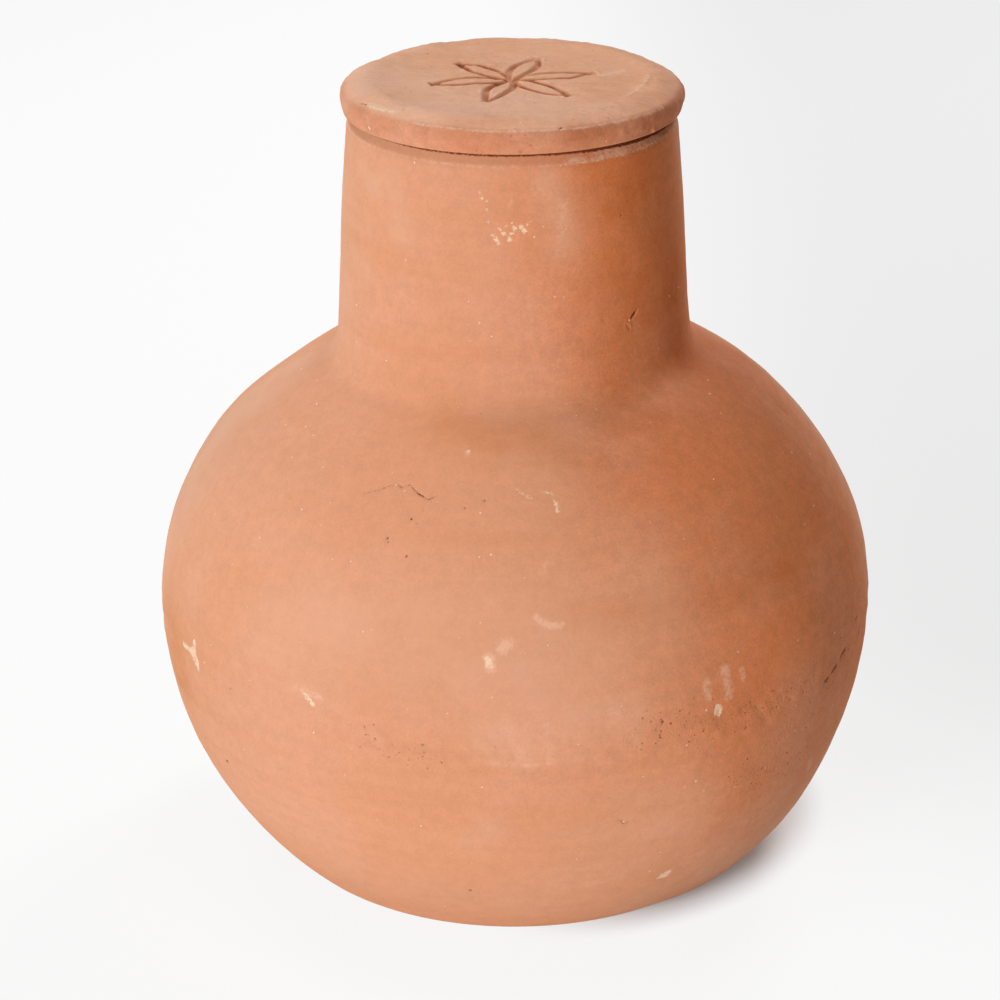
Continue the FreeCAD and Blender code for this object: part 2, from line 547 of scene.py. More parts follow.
class Wiring:
    """Adds nodes to one shader tree and joins them up."""

    def __init__(self, tree: bpy.types.NodeTree) -> None:
        """Keeps the tree to add to."""
        self.tree = tree

    def add(
        self, kind: str, inputs: Mapping[str | int, object] | None = None, **settings: object
    ) -> bpy.types.Node:
        """Adds a node.

        Args:
            kind: Type of the node.
            inputs: Values or sockets for its inputs, by name or number.
            **settings: Properties of the node.

        Returns:
            The node.
        """
        node = self.tree.nodes.new(kind)
        for name, value in settings.items():
            setattr(node, name, value)
        for key, value in (inputs or {}).items():
            self.feed(node.inputs[key], value)
        return node

    def feed(self, socket: Socket, value: object) -> None:
        """Links a socket to an input, or sets the input's own value.

        Args:
            socket: The input.
            value: A socket to link it to, or its value.
        """
        if isinstance(value, Socket):
            self.tree.links.new(value, socket)
        else:
            socket.default_value = value

    def calc(self, operation: str, first: object, second: object = 0.0, clamp: bool = False) -> Socket:
        """The result of a Math node on two values."""
        node = self.add("ShaderNodeMath", {0: first, 1: second}, operation=operation, use_clamp=clamp)
        return node.outputs[0]

    def ramp(
        self, value: object, low: object, high: object, at_low: object = 0.0, at_high: object = 1.0
    ) -> Socket:
        """A clamped soft ramp: at_low where the value is low, at_high where it is high."""
        inputs = {"Value": value, "From Min": low, "From Max": high, "To Min": at_low, "To Max": at_high}
        return self.add("ShaderNodeMapRange", inputs, interpolation_type="SMOOTHSTEP").outputs["Result"]

    def blend(self, share: object, first: object, second: object, how: str = "MIX") -> Socket:
        """Two colours mixed by a share of the second."""
        node = self.add("ShaderNodeMix", {0: share, 6: first, 7: second}, data_type="RGBA", blend_type=how)
        return node.outputs[2]

    def noise(self, place: object, scale: float, detail: float = 3.0, roughness: float = 0.5) -> Socket:
        """A noise value, about 0.5 in the middle."""
        inputs = {"Vector": place, "Scale": scale, "Detail": detail, "Roughness": roughness}
        return self.add("ShaderNodeTexNoise", inputs).outputs["Fac"]

    def cells(self, place: object, scale: float) -> tuple[Socket, bpy.types.NodeOutputs]:
        """Distance to the nearest of many scattered points, and three random numbers for that point.

        Args:
            place: Where to read.
            scale: Points a metre.

        Returns:
            The distance, and the numbers as Red, Green and Blue.
        """
        node = self.add("ShaderNodeTexVoronoi", {"Vector": place, "Scale": scale})
        lots = self.add("ShaderNodeSeparateColor", {"Color": node.outputs["Color"]})
        return node.outputs["Distance"], lots.outputs

    def carried(self, name: str) -> Socket:
        """A value that the mesh carries for each of its points."""
        return self.add("ShaderNodeAttribute", attribute_name=name).outputs["Fac"]


def empty_nodes(owner: bpy.types.Material | bpy.types.World) -> Wiring:
    """The emptied shader tree of a material or world.

    Args:
        owner: The material or world.

    Returns:
        Wiring for its tree.
    """
    owner.use_nodes = True
    owner.node_tree.nodes.clear()
    return Wiring(owner.node_tree)


class GroupWiring(Wiring):
    """A new shader node group, with its named inputs and outputs."""

    VALUE = "NodeSocketFloat"
    COLOUR = "NodeSocketColor"
    PLACE = "NodeSocketVector"

    def __init__(self, name: str, inputs: Mapping[str, str], outputs: Mapping[str, str]) -> None:
        """Makes the group's tree and its sockets.

        Args:
            name: Name of the group.
            inputs: Kind of socket for each input, by name.
            outputs: Kind of socket for each output, by name.
        """
        super().__init__(bpy.data.node_groups.new(name, "ShaderNodeTree"))
        for socket, kind in inputs.items():
            self.tree.interface.new_socket(socket, in_out="INPUT", socket_type=kind)
        for socket, kind in outputs.items():
            self.tree.interface.new_socket(socket, in_out="OUTPUT", socket_type=kind)
        self.given = self.add("NodeGroupInput").outputs
        self.result = self.add("NodeGroupOutput").inputs

    def give(self, name: str, value: object) -> None:
        """Sends a value to one of the group's outputs."""
        self.feed(self.result[name], value)


class ClayEffects:
    """The shader node groups that both clays share; values that end in SCALE are in waves a metre."""

    PATCH_SCALE = 65.0
    BLOTCH_SCALE = 17.0
    MOTTLE_SCALE = 240.0
    SAND_SCALE = 1300.0
    GRAIN_SCALE = 290.0
    HOLE_SCALE = 640.0
    SKIN_SCALE = 520.0
    TORN_SCALE = 700.0
    FLAKE_EDGE_SCALE = 1250.0
    DUST_GRAIN_SCALE = 760.0
    DUST_CLOUD_SCALE = 110.0
    WARP_SCALE = 900.0
    WIPES_A_BAND = 4.3

    def __init__(self) -> None:
        """Builds each group once."""
        self.tone = self.tone_group()
        self.grit = self.grit_group()
        self.flake = self.flake_group()
        self.dust = self.dust_group()
        self.crack = self.crack_shade_group()
        self.patchy = self.patchy_group()

    @staticmethod
    def mask_group(name: str, *amounts: str) -> GroupWiring:
        """A new group that makes one mask from a place and some amounts."""
        inputs = {"Place": GroupWiring.PLACE} | {amount: GroupWiring.VALUE for amount in amounts}
        return GroupWiring(name, inputs, {"Mask": GroupWiring.VALUE})

    @staticmethod
    def tone_group() -> bpy.types.NodeTree:
        """Colour of bare fired clay: soft blotches, wiped bands round the pot, fine mottle and sand.

        Returns:
            The group.
        """
        value, colour = GroupWiring.VALUE, GroupWiring.COLOUR
        inputs = {"Place": GroupWiring.PLACE, "Middle": colour, "Pale": colour, "Deep": colour}
        inputs |= {"Band Scale": GroupWiring.PLACE, "Blotches": value, "Bands": value, "Mottle": value}
        group = GroupWiring("clay tone", inputs, {"Color": colour})
        given = group.given
        place = given["Place"]
        blotch = group.ramp(group.noise(place, ClayEffects.BLOTCH_SCALE, 4.0, 0.55), 0.42, 0.68)
        tone = group.blend(group.calc("MULTIPLY", blotch, given["Blotches"]), given["Middle"], given["Pale"])
        mapping = group.add("ShaderNodeMapping", {"Vector": place, "Scale": given["Band Scale"]})
        band_place = mapping.outputs[0]
        band = group.ramp(group.noise(band_place, 1.0, 3.0, 0.6), 0.48, 0.74)
        tone = group.blend(group.calc("MULTIPLY", band, given["Bands"]), tone, given["Deep"])
        wipes = group.noise(band_place, ClayEffects.WIPES_A_BAND, 3.0, 0.6)
        wipe = group.ramp(wipes, 0.35, 0.65, -0.25, 0.25)
        mottle = group.ramp(group.noise(place, ClayEffects.MOTTLE_SCALE, 6.0, 0.7), 0.3, 0.7, -1.0, 1.0)
        sand = group.ramp(group.noise(place, ClayEffects.SAND_SCALE, 2.0, 0.5), 0.3, 0.7, -0.85, 0.85)
        total = group.calc("ADD", group.calc("ADD", mottle, sand), wipe)
        level = group.calc("ADD", group.calc("MULTIPLY", total, given["Mottle"]), 1.0)
        group.give("Color", group.blend(1.0, tone, level, "MULTIPLY"))
        return group.tree

    @staticmethod
    def grit_group() -> bpy.types.NodeTree:
        """Sand in the clay: pale grains, fine pits and holes where grains fell out, whose mask takes painted
        shade, and their height in mm.

        Returns:
            The group.
        """
        value = GroupWiring.VALUE
        inputs = {"Place": GroupWiring.PLACE, "Pitted": value, "Grains": value}
        group = GroupWiring("clay grit", inputs, {"Pale Grains": value, "Pits": value, "Height": value})
        given = group.given
        place, pitted = given["Place"], given["Pitted"]
        gap, lots = group.cells(place, ClayEffects.GRAIN_SCALE)
        size = group.ramp(lots["Red"], 0.3, 1.0, 0.0, 0.08)
        edge = group.calc("ADD", group.calc("MULTIPLY", size, 1.5), 0.001)
        grain = group.ramp(gap, size, edge, 1.0, 0.0)
        grains = group.calc("MULTIPLY", grain, group.ramp(lots["Green"], 0.3, 1.0, 0.15, 1.0))
        group.give("Pale Grains", group.calc("MULTIPLY", grains, given["Grains"]))
        shallow = group.ramp(pitted, 0.0, 1.0, 0.76, 0.6)
        speckle = group.noise(place, ClayEffects.SAND_SCALE, 3.0, 0.6)
        fine = group.ramp(speckle, shallow, group.calc("ADD", shallow, 0.12))
        warp_inputs = {"Vector": place, "Scale": ClayEffects.WARP_SCALE}
        warp = group.add("ShaderNodeTexNoise", warp_inputs).outputs["Color"]
        bend_inputs = {0: warp, 1: (MM, MM, MM), 2: place}
        bent = group.add("ShaderNodeVectorMath", bend_inputs, operation="MULTIPLY_ADD").outputs["Vector"]
        hole_gap, hole_lots = group.cells(bent, ClayEffects.HOLE_SCALE)
        hole_size = group.ramp(hole_lots["Green"], 0.0, 1.0, 0.05, 0.17)
        hole = group.ramp(hole_gap, hole_size, group.calc("MULTIPLY", hole_size, 1.9), 1.0, 0.0)
        open_hole = group.ramp(group.calc("SUBTRACT", pitted, hole_lots["Red"]), 0.2, 0.6)
        holes = group.calc("MULTIPLY", hole, open_hole)
        pits = group.calc("MAXIMUM", group.calc("MULTIPLY", fine, 0.6), holes)
        group.give("Pits", pits)
        skin = group.calc("MULTIPLY", group.noise(place, ClayEffects.SKIN_SCALE, 4.0, 0.6), 0.05)
        torn = group.noise(place, ClayEffects.TORN_SCALE, 4.0, 0.6)
        rough = group.calc("MULTIPLY", torn, group.calc("MULTIPLY", pitted, 0.3))
        height = group.calc("ADD", group.calc("ADD", skin, rough), group.calc("MULTIPLY", grain, 0.06))
        group.give("Height", group.calc("SUBTRACT", height, group.calc("MULTIPLY", pits, 0.2)))
        return group.tree

    @staticmethod
    def flake_group() -> bpy.types.NodeTree:
        """Where a pale skin shows: a distance inside a mark, in mm, with a ragged edge and worn spots.

        Returns:
            The group.
        """
        group = ClayEffects.mask_group("pale flake", "Inside", "Ragged")
        given = group.given
        tears = group.noise(given["Place"], ClayEffects.FLAKE_EDGE_SCALE, 5.0, 0.7)
        shift = group.calc("MULTIPLY", group.calc("SUBTRACT", tears, 0.5), given["Ragged"])
        skin = group.ramp(group.calc("ADD", given["Inside"], shift), -0.2, 0.3)
        wear = group.noise(given["Place"], ClayEffects.TORN_SCALE, 3.0, 0.6)
        worn = group.ramp(wear, 0.36, 0.5, 0.5, 1.0)
        group.give("Mask", group.calc("MULTIPLY", skin, worn))
        return group.tree

    @staticmethod
    def dust_group() -> bpy.types.NodeTree:
        """Where dust and slip lie: the clay's grain holds more of it where the amount is higher.

        Returns:
            The group.
        """
        group = ClayEffects.mask_group("dry dust", "Amount")
        given = group.given
        amount = given["Amount"]
        lean = group.calc("MULTIPLY", group.calc("SUBTRACT", amount, 0.5), 0.45)
        grain = group.noise(given["Place"], ClayEffects.DUST_GRAIN_SCALE, 5.0, 0.75)
        clouds = group.noise(given["Place"], ClayEffects.DUST_CLOUD_SCALE, 4.0, 0.6)
        cloud = group.calc("MULTIPLY", clouds, 0.5)
        cover = group.calc("ADD", group.calc("ADD", grain, cloud), lean)
        held = group.ramp(cover, 0.6, 0.95)
        group.give("Mask", group.calc("MULTIPLY", held, group.ramp(amount, 0.02, 0.6)))
        return group.tree

    @staticmethod
    def crack_shade_group() -> bpy.types.NodeTree:
        """Painted shade in cracks, gouges, pits and the gap under the lid: an amount whose edge is torn by
        the clay's grain.

        Returns:
            The group.
        """
        group = ClayEffects.mask_group("rough crack", "Amount")
        amount = group.given["Amount"]
        tears = group.noise(group.given["Place"], ClayEffects.SAND_SCALE, 4.0, 0.65)
        shift = group.calc("MULTIPLY", group.calc("SUBTRACT", tears, 0.5), 1.6)
        torn = group.ramp(group.calc("ADD", amount, shift), 0.4, 0.85)
        group.give("Mask", group.calc("MULTIPLY", torn, group.ramp(amount, 0.03, 0.2)))
        return group.tree

    @staticmethod
    def patchy_group() -> bpy.types.NodeTree:
        """A soft mask for stains and painted shade, and for pale blooms and painted light, broken up into
        cloudy patches.

        Returns:
            The group.
        """
        group = ClayEffects.mask_group("patchy", "Amount")
        clouds = group.noise(group.given["Place"], ClayEffects.PATCH_SCALE, 5.0, 0.65)
        cloud = group.ramp(clouds, 0.3, 0.7, 0.6, 1.3)
        group.give("Mask", group.calc("MULTIPLY", group.given["Amount"], cloud, clamp=True))
        return group.tree


# How far dust, flakes and the painted shade in pits hide the clay, and how far a flake lies below it
DUST_COVER = 0.65
FLAKE_COVER = 0.85
PIT_SHADE = 0.6
FLAKE_HEIGHT_MM = -0.08


@dataclass(frozen=True)
class ClayFinish:
    """One batch of fired clay and how it has weathered.

    Args:
        name: Name of the material.
        middle: Usual colour.
        pale: Colour of paler blotches.
        deep: Colour of the wiped bands.
        flashed_and_shaded: Colour where the kiln's flame turned the clay more orange, and painted shade on
            the side that the key lamp leaves dark.
        cream: Colour under flaked skin.
        dust: Colour of dry dust and slip.
        stain: Colour that stained clay, and clay with painted shade, is multiplied by.
        bloom: Colour of the soft pale blooms, of painted sheen on the outline, and of painted light low on
            the belly.
        crevice: Painted shade inside cracks, pits and gaps.
        grain: Colour of sand grains.
        blotches: Strength of the blotches.
        bands: Strength of the bands.
        mottle: Strength of fine mottle.
        grains: Strength of the grains.
        ragged_mm: How ragged the edges of flakes are.
        band_scale: How fast the wiped bands change along each axis, in waves a metre.
    """

    name: str
    middle: Colour
    pale: Colour
    deep: Colour
    flashed_and_shaded: Colour
    cream: Colour
    dust: Colour
    stain: Colour
    bloom: Colour
    crevice: Colour
    grain: Colour
    blotches: float
    bands: float
    mottle: float
    grains: float
    ragged_mm: float
    band_scale: tuple[float, float, float]

    def material(self, effects: ClayEffects) -> bpy.types.Material:
        """The material, from the shared node groups.

        Args:
            effects: The shared node groups.

        Returns:
            The material.
        """
        material = bpy.data.materials.new(self.name)
        wiring = empty_nodes(material)
        place = wiring.add("ShaderNodeTexCoord").outputs["Object"]

        def effect(group: bpy.types.NodeTree, inputs: Mapping[str, object]) -> bpy.types.NodeOutputs:
            """Outputs of a shared group that is placed in this material."""
            return wiring.add("ShaderNodeGroup", {"Place": place, **inputs}, node_tree=group).outputs

        # Deeper orange tone: partly kiln flashing, partly painted shade on the side that the key lamp leaves
        # dark
        flash_and_shade = wiring.carried(FLASH_AND_SHADE_FIELD)
        calm = wiring.ramp(flash_and_shade, 0.0, 1.0, 1.0, 0.5)
        speckle = wiring.calc("MULTIPLY", wiring.ramp(flash_and_shade, -0.2, 0.7, 1.0, 2.2), self.mottle)
        middle = wiring.blend(flash_and_shade, self.middle, self.flashed_and_shaded)
        tone_inputs = {"Middle": middle, "Pale": self.pale, "Deep": self.deep, "Band Scale": self.band_scale}
        tone_inputs |= {"Blotches": wiring.calc("MULTIPLY", calm, self.blotches)}
        tone_inputs |= {"Bands": wiring.calc("MULTIPLY", calm, self.bands), "Mottle": speckle}
        colour = effect(effects.tone, tone_inputs)["Color"]
        grit = effect(effects.grit, {"Pitted": wiring.carried(PITTED.value), "Grains": self.grains})
        stain = effect(effects.patchy, {"Amount": wiring.carried(STAIN_AND_SHADE.value)})["Mask"]
        colour = wiring.blend(stain, colour, self.stain, "MULTIPLY")
        bloom = effect(effects.patchy, {"Amount": wiring.carried(BLOOM.value)})["Mask"]
        colour = wiring.blend(bloom, colour, self.bloom)
        dust = effect(effects.dust, {"Amount": wiring.carried(DUST.value)})["Mask"]
        colour = wiring.blend(wiring.calc("MULTIPLY", dust, DUST_COVER), colour, self.dust)
        flake_inputs = {"Inside": wiring.carried(FLAKE.value), "Ragged": self.ragged_mm}
        flake = effect(effects.flake, flake_inputs)["Mask"]
        colour = wiring.blend(wiring.calc("MULTIPLY", flake, FLAKE_COVER), colour, self.cream)
        colour = wiring.blend(grit["Pale Grains"], colour, self.grain)
        # Painted shade: cracks, gouges, pits and the gap under the lid are darkened towards the crevice
        # colour
        crack = effect(effects.crack, {"Amount": wiring.carried(CREVICE_SHADE.value)})["Mask"]
        dark = wiring.calc("MAXIMUM", wiring.calc("MULTIPLY", grit["Pits"], PIT_SHADE), crack)
        colour = wiring.blend(dark, colour, self.crevice)
        roughness = wiring.ramp(wiring.calc("ADD", dust, flake), 0.0, 1.0, 0.82, 0.95)
        height = wiring.calc("ADD", grit["Height"], wiring.calc("MULTIPLY", flake, FLAKE_HEIGHT_MM))
        bump = wiring.add("ShaderNodeBump", {"Height": height, "Strength": 1.0, "Distance": MM})
        shader_inputs = {"Base Color": colour, "Roughness": roughness, "Normal": bump.outputs["Normal"]}
        shader_inputs |= {"Diffuse Roughness": 0.5, "Specular IOR Level": 0.12}
        shader = wiring.add("ShaderNodeBsdfPrincipled", shader_inputs)
        wiring.add("ShaderNodeOutputMaterial", {"Surface": shader.outputs["BSDF"]})
        return material


JAR_FINISH = ClayFinish(
    name="jar_fired_clay",
    middle=screen_colour(222, 160, 123),
    pale=screen_colour(226, 167, 136),
    deep=screen_colour(217, 150, 108),
    flashed_and_shaded=screen_colour(219, 134, 85),
    cream=screen_colour(247, 218, 186),
    dust=screen_colour(240, 196, 168),
    stain=screen_colour(238, 218, 188),
    bloom=screen_colour(227, 180, 152),
    crevice=screen_colour(130, 62, 34),
    grain=screen_colour(250, 236, 218),
    blotches=0.7,
    bands=0.35,
    mottle=0.031,
    grains=0.9,
    ragged_mm=3.5,
    band_scale=(5.0, 5.0, 80.0),
)

LID_FINISH = ClayFinish(
    name="lid_fired_clay",
    middle=screen_colour(228, 172, 137),
    pale=screen_colour(235, 186, 157),
    deep=screen_colour(218, 155, 119),
    flashed_and_shaded=screen_colour(206, 134, 97),
    cream=screen_colour(244, 212, 178),
    dust=screen_colour(236, 204, 180),
    stain=screen_colour(228, 202, 180),
    bloom=screen_colour(228, 184, 160),
    crevice=screen_colour(130, 62, 34),
    grain=screen_colour(250, 232, 212),
    blotches=0.9,
    bands=0.6,
    mottle=0.028,
    grains=1.0,
    ragged_mm=3.5,
    band_scale=(12.0, 90.0, 90.0),
)


@dataclass(frozen=True)
class Ring:
    """A broad ring that the potter's hand left round the jar.

    Args:
        height_mm: Height of the ring.
        half_width_mm: Half width of its bell-shaped section.
        rise_mm: How far it stands out, negative for a hollow.
        turn_deg: Angle at which it is strongest.
    """

    height_mm: float
    half_width_mm: float
    rise_mm: float
    turn_deg: float = 0.0


NECK_SPECKS = ((-14.8, 219.8), (-11.5, 226.5), (-10.8, 209.5), (-52.0, 191.5), (-25.0, 227.0), (-37.5, 227.0))
SCUFF_CHIPS = ((-5.6, 237.4), (-3.0, 239.6), (-1.2, 237.6), (0.6, 241.2), (2.8, 241.6), (3.6, 240.4))
SCUFF_GRAINS = ((-6.6, 239.0), (-4.6, 236.0), (-4.2, 241.0), (-2.0, 241.8), (-0.4, 239.4), (1.4, 238.8))
SCUFF_TRAIL = ((-11.0, 252.6), (-10.2, 251.0), (-8.6, 250.0), (-8.5, 247.0), (-8.0, 243.2), (4.6, 242.4))
NECK_MARKS = (
    *spots(FLAKE, 0.85, 0.15, 1.0, SCUFF_CHIPS),
    *spots(FLAKE, 0.5, 0.1, 1.0, SCUFF_GRAINS),
    *spots(FLAKE, 0.45, 0.05, 1.0, SCUFF_TRAIL),
    Mark(DUST, ((8.0, 254.0), (17.0, 250.0), (15.5, 233.0)), 4.0, strength=0.4),
    Mark(DUST, ((-2.2, 244.8), (0.2, 253.2)), 1.4, strength=0.35),
    Mark(BLOOM, ((-45.0, 251.5), (-39.0, 236.2)), 5.0, strength=0.3),
    Mark(BLOOM, ((-63.0, 251.5), (-52.0, 248.0)), 4.0, strength=0.4),
    Mark(BLOOM, ((-68.2, 223.5), (-56.8, 219.5)), 4.0, strength=0.3),
    Mark(DUST, ((45.0, 254.0), (47.0, 234.0)), 2.5, strength=0.25),
    Mark(DUST, ((53.0, 254.0), (54.5, 232.0)), 3.0, strength=0.25),
    Mark(DUST, ((16.8, 200.0), (37.0, 198.2)), 0.6, 0.05, 0.2),
    Mark(CREVICE_SHADE, ((40.6, 206.2), (43.4, 208.6)), 0.55, 0.6, tapered=True),
    Mark(CREVICE_SHADE, ((38.6, 204.6), (39.8, 203.0)), 0.4, 0.3, 0.8),
    Mark(DUST, ((38.4, 205.4), (40.2, 204.4)), 0.7, -0.3, 0.3),
    Mark(CREVICE_SHADE, ((29.4, 208.6), (30.2, 207.4)), 0.4, 0.3, 0.6),
    Mark(CREVICE_SHADE, ((38.0, 241.6),), 0.4, 0.4),
    Mark(CREVICE_SHADE, ((10.0, 225.2), (11.6, 226.6)), 0.4, 0.25, 0.5),
    # Painted shade: these two stains darken the neck's right side, which the key lamp leaves in shade
    Mark(STAIN_AND_SHADE, ((34.0, 188.0), (44.0, 222.0), (40.0, 256.0)), 18.0, strength=0.8),
    Mark(STAIN_AND_SHADE, ((66.0, 186.0), (66.0, 215.0)), 14.0, strength=0.9),
    # Painted sheen: the blooms at -82 and 88 degrees lie along the neck's left and right outline
    Mark(BLOOM, ((-82.0, 200.0), (-82.0, 240.0)), 14.0, strength=0.4),
    Mark(BLOOM, ((88.0, 232.0), (80.0, 262.0)), 9.0, strength=0.35),
    Mark(BLOOM, ((12.0, 256.0), (16.0, 236.0)), 7.0, strength=0.35),
    Mark(FLAKE, ((16.0, 261.2), (34.0, 261.0), (50.0, 261.4), (64.0, 261.6)), 0.0),
    Mark(DUST, ((20.0, 262.0), (42.0, 262.0), (66.0, 262.2)), 1.6, strength=0.7),
    *spots(FLAKE, 0.35, -0.1, 1.0, NECK_SPECKS),
)

LEFT_CRACK = ((-31.5, 159.8), (-28.5, 161.5), (-26.3, 163.0), (-25.2, 163.5), (-23.8, 163.0), (-22.2, 164.0))
RIGHT_CRACK = ((-22.2, 164.0), (-21.0, 162.8), (-19.5, 161.8), (-17.5, 161.0), (-15.8, 162.2))
SHOULDER_PITS = ((-18.0, 158.0), (-20.0, 155.5), (-18.5, 155.0), (-9.8, 159.5), (-6.0, 161.5), (-19.2, 146.0))
SHOULDER_SPECKS = ((-63.0, 159.8), (-11.5, 165.0), (-11.2, 133.0), (-37.0, 125.5))
SHOULDER_MARKS = (
    Mark(CREVICE_SHADE, LEFT_CRACK, 0.42, 0.2, 0.6),
    Mark(CREVICE_SHADE, RIGHT_CRACK, 0.5, 0.3, 0.75, tapered=True),
    Mark(CREVICE_SHADE, ((-25.0, 163.4), (-23.8, 162.8)), 0.5, 0.2, 0.7),
    Mark(CREVICE_SHADE, ((-9.5, 180.6), (-8.8, 179.4)), 0.8, 0.1, 0.45),
    Mark(BLOOM, ((-10.8, 172.2),), 0.9),
    Mark(CREVICE_SHADE, ((-23.6, 150.2), (-23.2, 149.2)), 0.45, 0.3, 0.8),
    Mark(CREVICE_SHADE, ((81.0, 163.8), (82.0, 159.5)), 0.5, 0.3, 0.6),
    Mark(FLAKE, ((-10.8, 172.2),), 0.9, -0.7),
    Mark(FLAKE, ((0.2, 164.2), (3.2, 161.8)), 0.3, 0.1),
    Mark(FLAKE, ((5.8, 163.2), (7.5, 163.0), (8.2, 160.2)), 0.25, 0.1),
    Mark(FLAKE, ((8.2, 160.4), (8.3, 158.6)), 0.6, 0.15),
    Mark(DUST, ((4.5, 142.8), (5.5, 146.0), (6.8, 146.0)), 1.5, strength=0.45),
    Mark(DUST, ((3.2, 131.0), (5.0, 128.5), (7.5, 128.5)), 1.6, strength=0.75),
    Mark(FLAKE, ((-4.2, 118.6), (-3.9, 116.8)), 1.2, 0.1),
    Mark(DUST, ((-4.2, 118.8), (-3.8, 116.4)), 2.6, strength=0.9),
    Mark(DUST, ((-2.0, 121.6), (-1.2, 123.6)), 2.6, strength=0.75),
    Mark(STAIN_AND_SHADE, ((-18.0, 178.0), (-4.0, 175.0)), 10.0, strength=0.55),
    Mark(STAIN_AND_SHADE, ((4.0, 176.0), (17.0, 168.0)), 10.0, strength=0.55),
    Mark(STAIN_AND_SHADE, ((24.0, 176.0), (40.0, 176.0)), 8.0, strength=0.5),
    Mark(STAIN_AND_SHADE, ((10.0, 131.0), (50.0, 129.0)), 6.0, strength=0.45),
    Mark(STAIN_AND_SHADE, ((100.0, 170.0), (140.0, 165.0)), 9.0, strength=0.6),
    Mark(STAIN_AND_SHADE, ((-140.0, 130.0), (-100.0, 134.0)), 6.0, strength=0.5),
    *spots(CREVICE_SHADE, 0.7, 0.3, 0.85, SHOULDER_PITS),
    *spots(FLAKE, 0.4, -0.1, 1.0, SHOULDER_SPECKS),
    # Painted sheen: the first and third blooms below lie along the shoulder's left and right outline
    Mark(BLOOM, ((-92.0, 174.0), (-90.0, 150.0), (-90.0, 112.0)), 24.0, strength=0.6),
    Mark(BLOOM, ((-36.0, 118.0), (-14.0, 124.0), (4.0, 118.0)), 20.0, strength=0.4),
    Mark(BLOOM, ((108.0, 172.0), (96.0, 142.0), (88.0, 116.0)), 15.0, strength=0.4),
    Mark(BLOOM, ((22.0, 150.0), (24.0, 132.0)), 12.0, strength=0.25),
    Mark(PITTED, ((30.0, 140.0), (60.0, 135.0)), 30.0, strength=0.25),
)

JOINT_PITS = ((65.0, 105.0), (69.0, 97.5), (76.5, 85.0), (29.5, 88.0), (37.5, 83.5), (27.8, 99.5))
JOINT_MARKS = (
    Mark(FLAKE, ((-65.6, 92.8), (-62.6, 92.8)), 1.2, 0.15),
    Mark(FLAKE, ((-61.2, 97.4), (-61.2, 93.0)), 1.2, 0.2),
    Mark(FLAKE, ((-62.2, 93.2), (-60.4, 90.4)), 1.7, 0.2),
    Mark(FLAKE, ((-60.5, 91.4), (-60.0, 88.2)), 0.9, 0.2),
    Mark(FLAKE, ((-33.6, 98.7), (-32.0, 96.0)), 0.9, 0.2),
    Mark(DUST, ((-35.8, 99.8), (-31.0, 99.2)), 2.2, strength=0.6),
    Mark(DUST, ((30.0, 104.0), (30.2, 98.6)), 2.5, strength=0.65),
    Mark(DUST, ((33.6, 106.0), (34.0, 97.4)), 2.7, strength=0.75),
    Mark(DUST, ((36.8, 104.4), (37.0, 101.0)), 1.7, strength=0.6),
    Mark(FLAKE, ((31.8, 95.4), (32.2, 91.0)), 1.9, 0.2, tapered=True),
    Mark(BLOOM, ((-4.0, 96.0), (3.0, 90.0)), 9.0, strength=0.35),
    Mark(BLOOM, ((9.0, 100.0), (17.0, 99.0)), 7.0, strength=0.35),
    Mark(DUST, ((-2.0, 96.0), (2.0, 86.0)), 6.0, strength=0.4),
    Mark(DUST, ((4.4, 97.0), (5.0, 84.0)), 2.4, strength=0.45),
    Mark(DUST, ((-4.0, 83.4), (4.6, 83.0)), 1.8, strength=0.45),
    Mark(DUST, ((14.0, 103.0), (18.6, 88.0)), 4.5, strength=0.35),
    Mark(PITTED, ((-24.0, 89.0), (-13.0, 85.0)), 7.0, 0.1),
    Mark(PITTED, ((20.0, 92.0), (37.0, 88.0), (52.0, 90.0)), 9.0, 0.1),
    Mark(CREVICE_SHADE, ((64.6, 91.4), (62.0, 88.8)), 1.3, 0.5, 0.8, tapered=True),
    Mark(CREVICE_SHADE, ((60.8, 88.0), (59.4, 86.8)), 1.2, 0.5, 0.9),
    Mark(CREVICE_SHADE, ((58.2, 86.0), (57.0, 85.0)), 1.0, 0.4, 0.85),
    Mark(PITTED, ((58.0, 84.0), (68.0, 90.0)), 5.0, 0.1),
    Mark(STAIN_AND_SHADE, ((-76.0, 98.0), (-70.0, 78.0)), 14.0, strength=0.6),
    Mark(CREVICE_SHADE, ((22.4, 94.0),), 0.9, 0.4, 0.9),
    Mark(PITTED, ((62.0, 97.0), (70.0, 100.0)), 7.0, 0.1),
    Mark(PITTED, ((120.0, 90.0), (150.0, 88.0)), 7.0, 0.1),
    Mark(PITTED, ((-150.0, 91.0), (-110.0, 88.0)), 8.0, 0.1),
    *spots(CREVICE_SHADE, 0.85, 0.4, 0.9, JOINT_PITS),
)

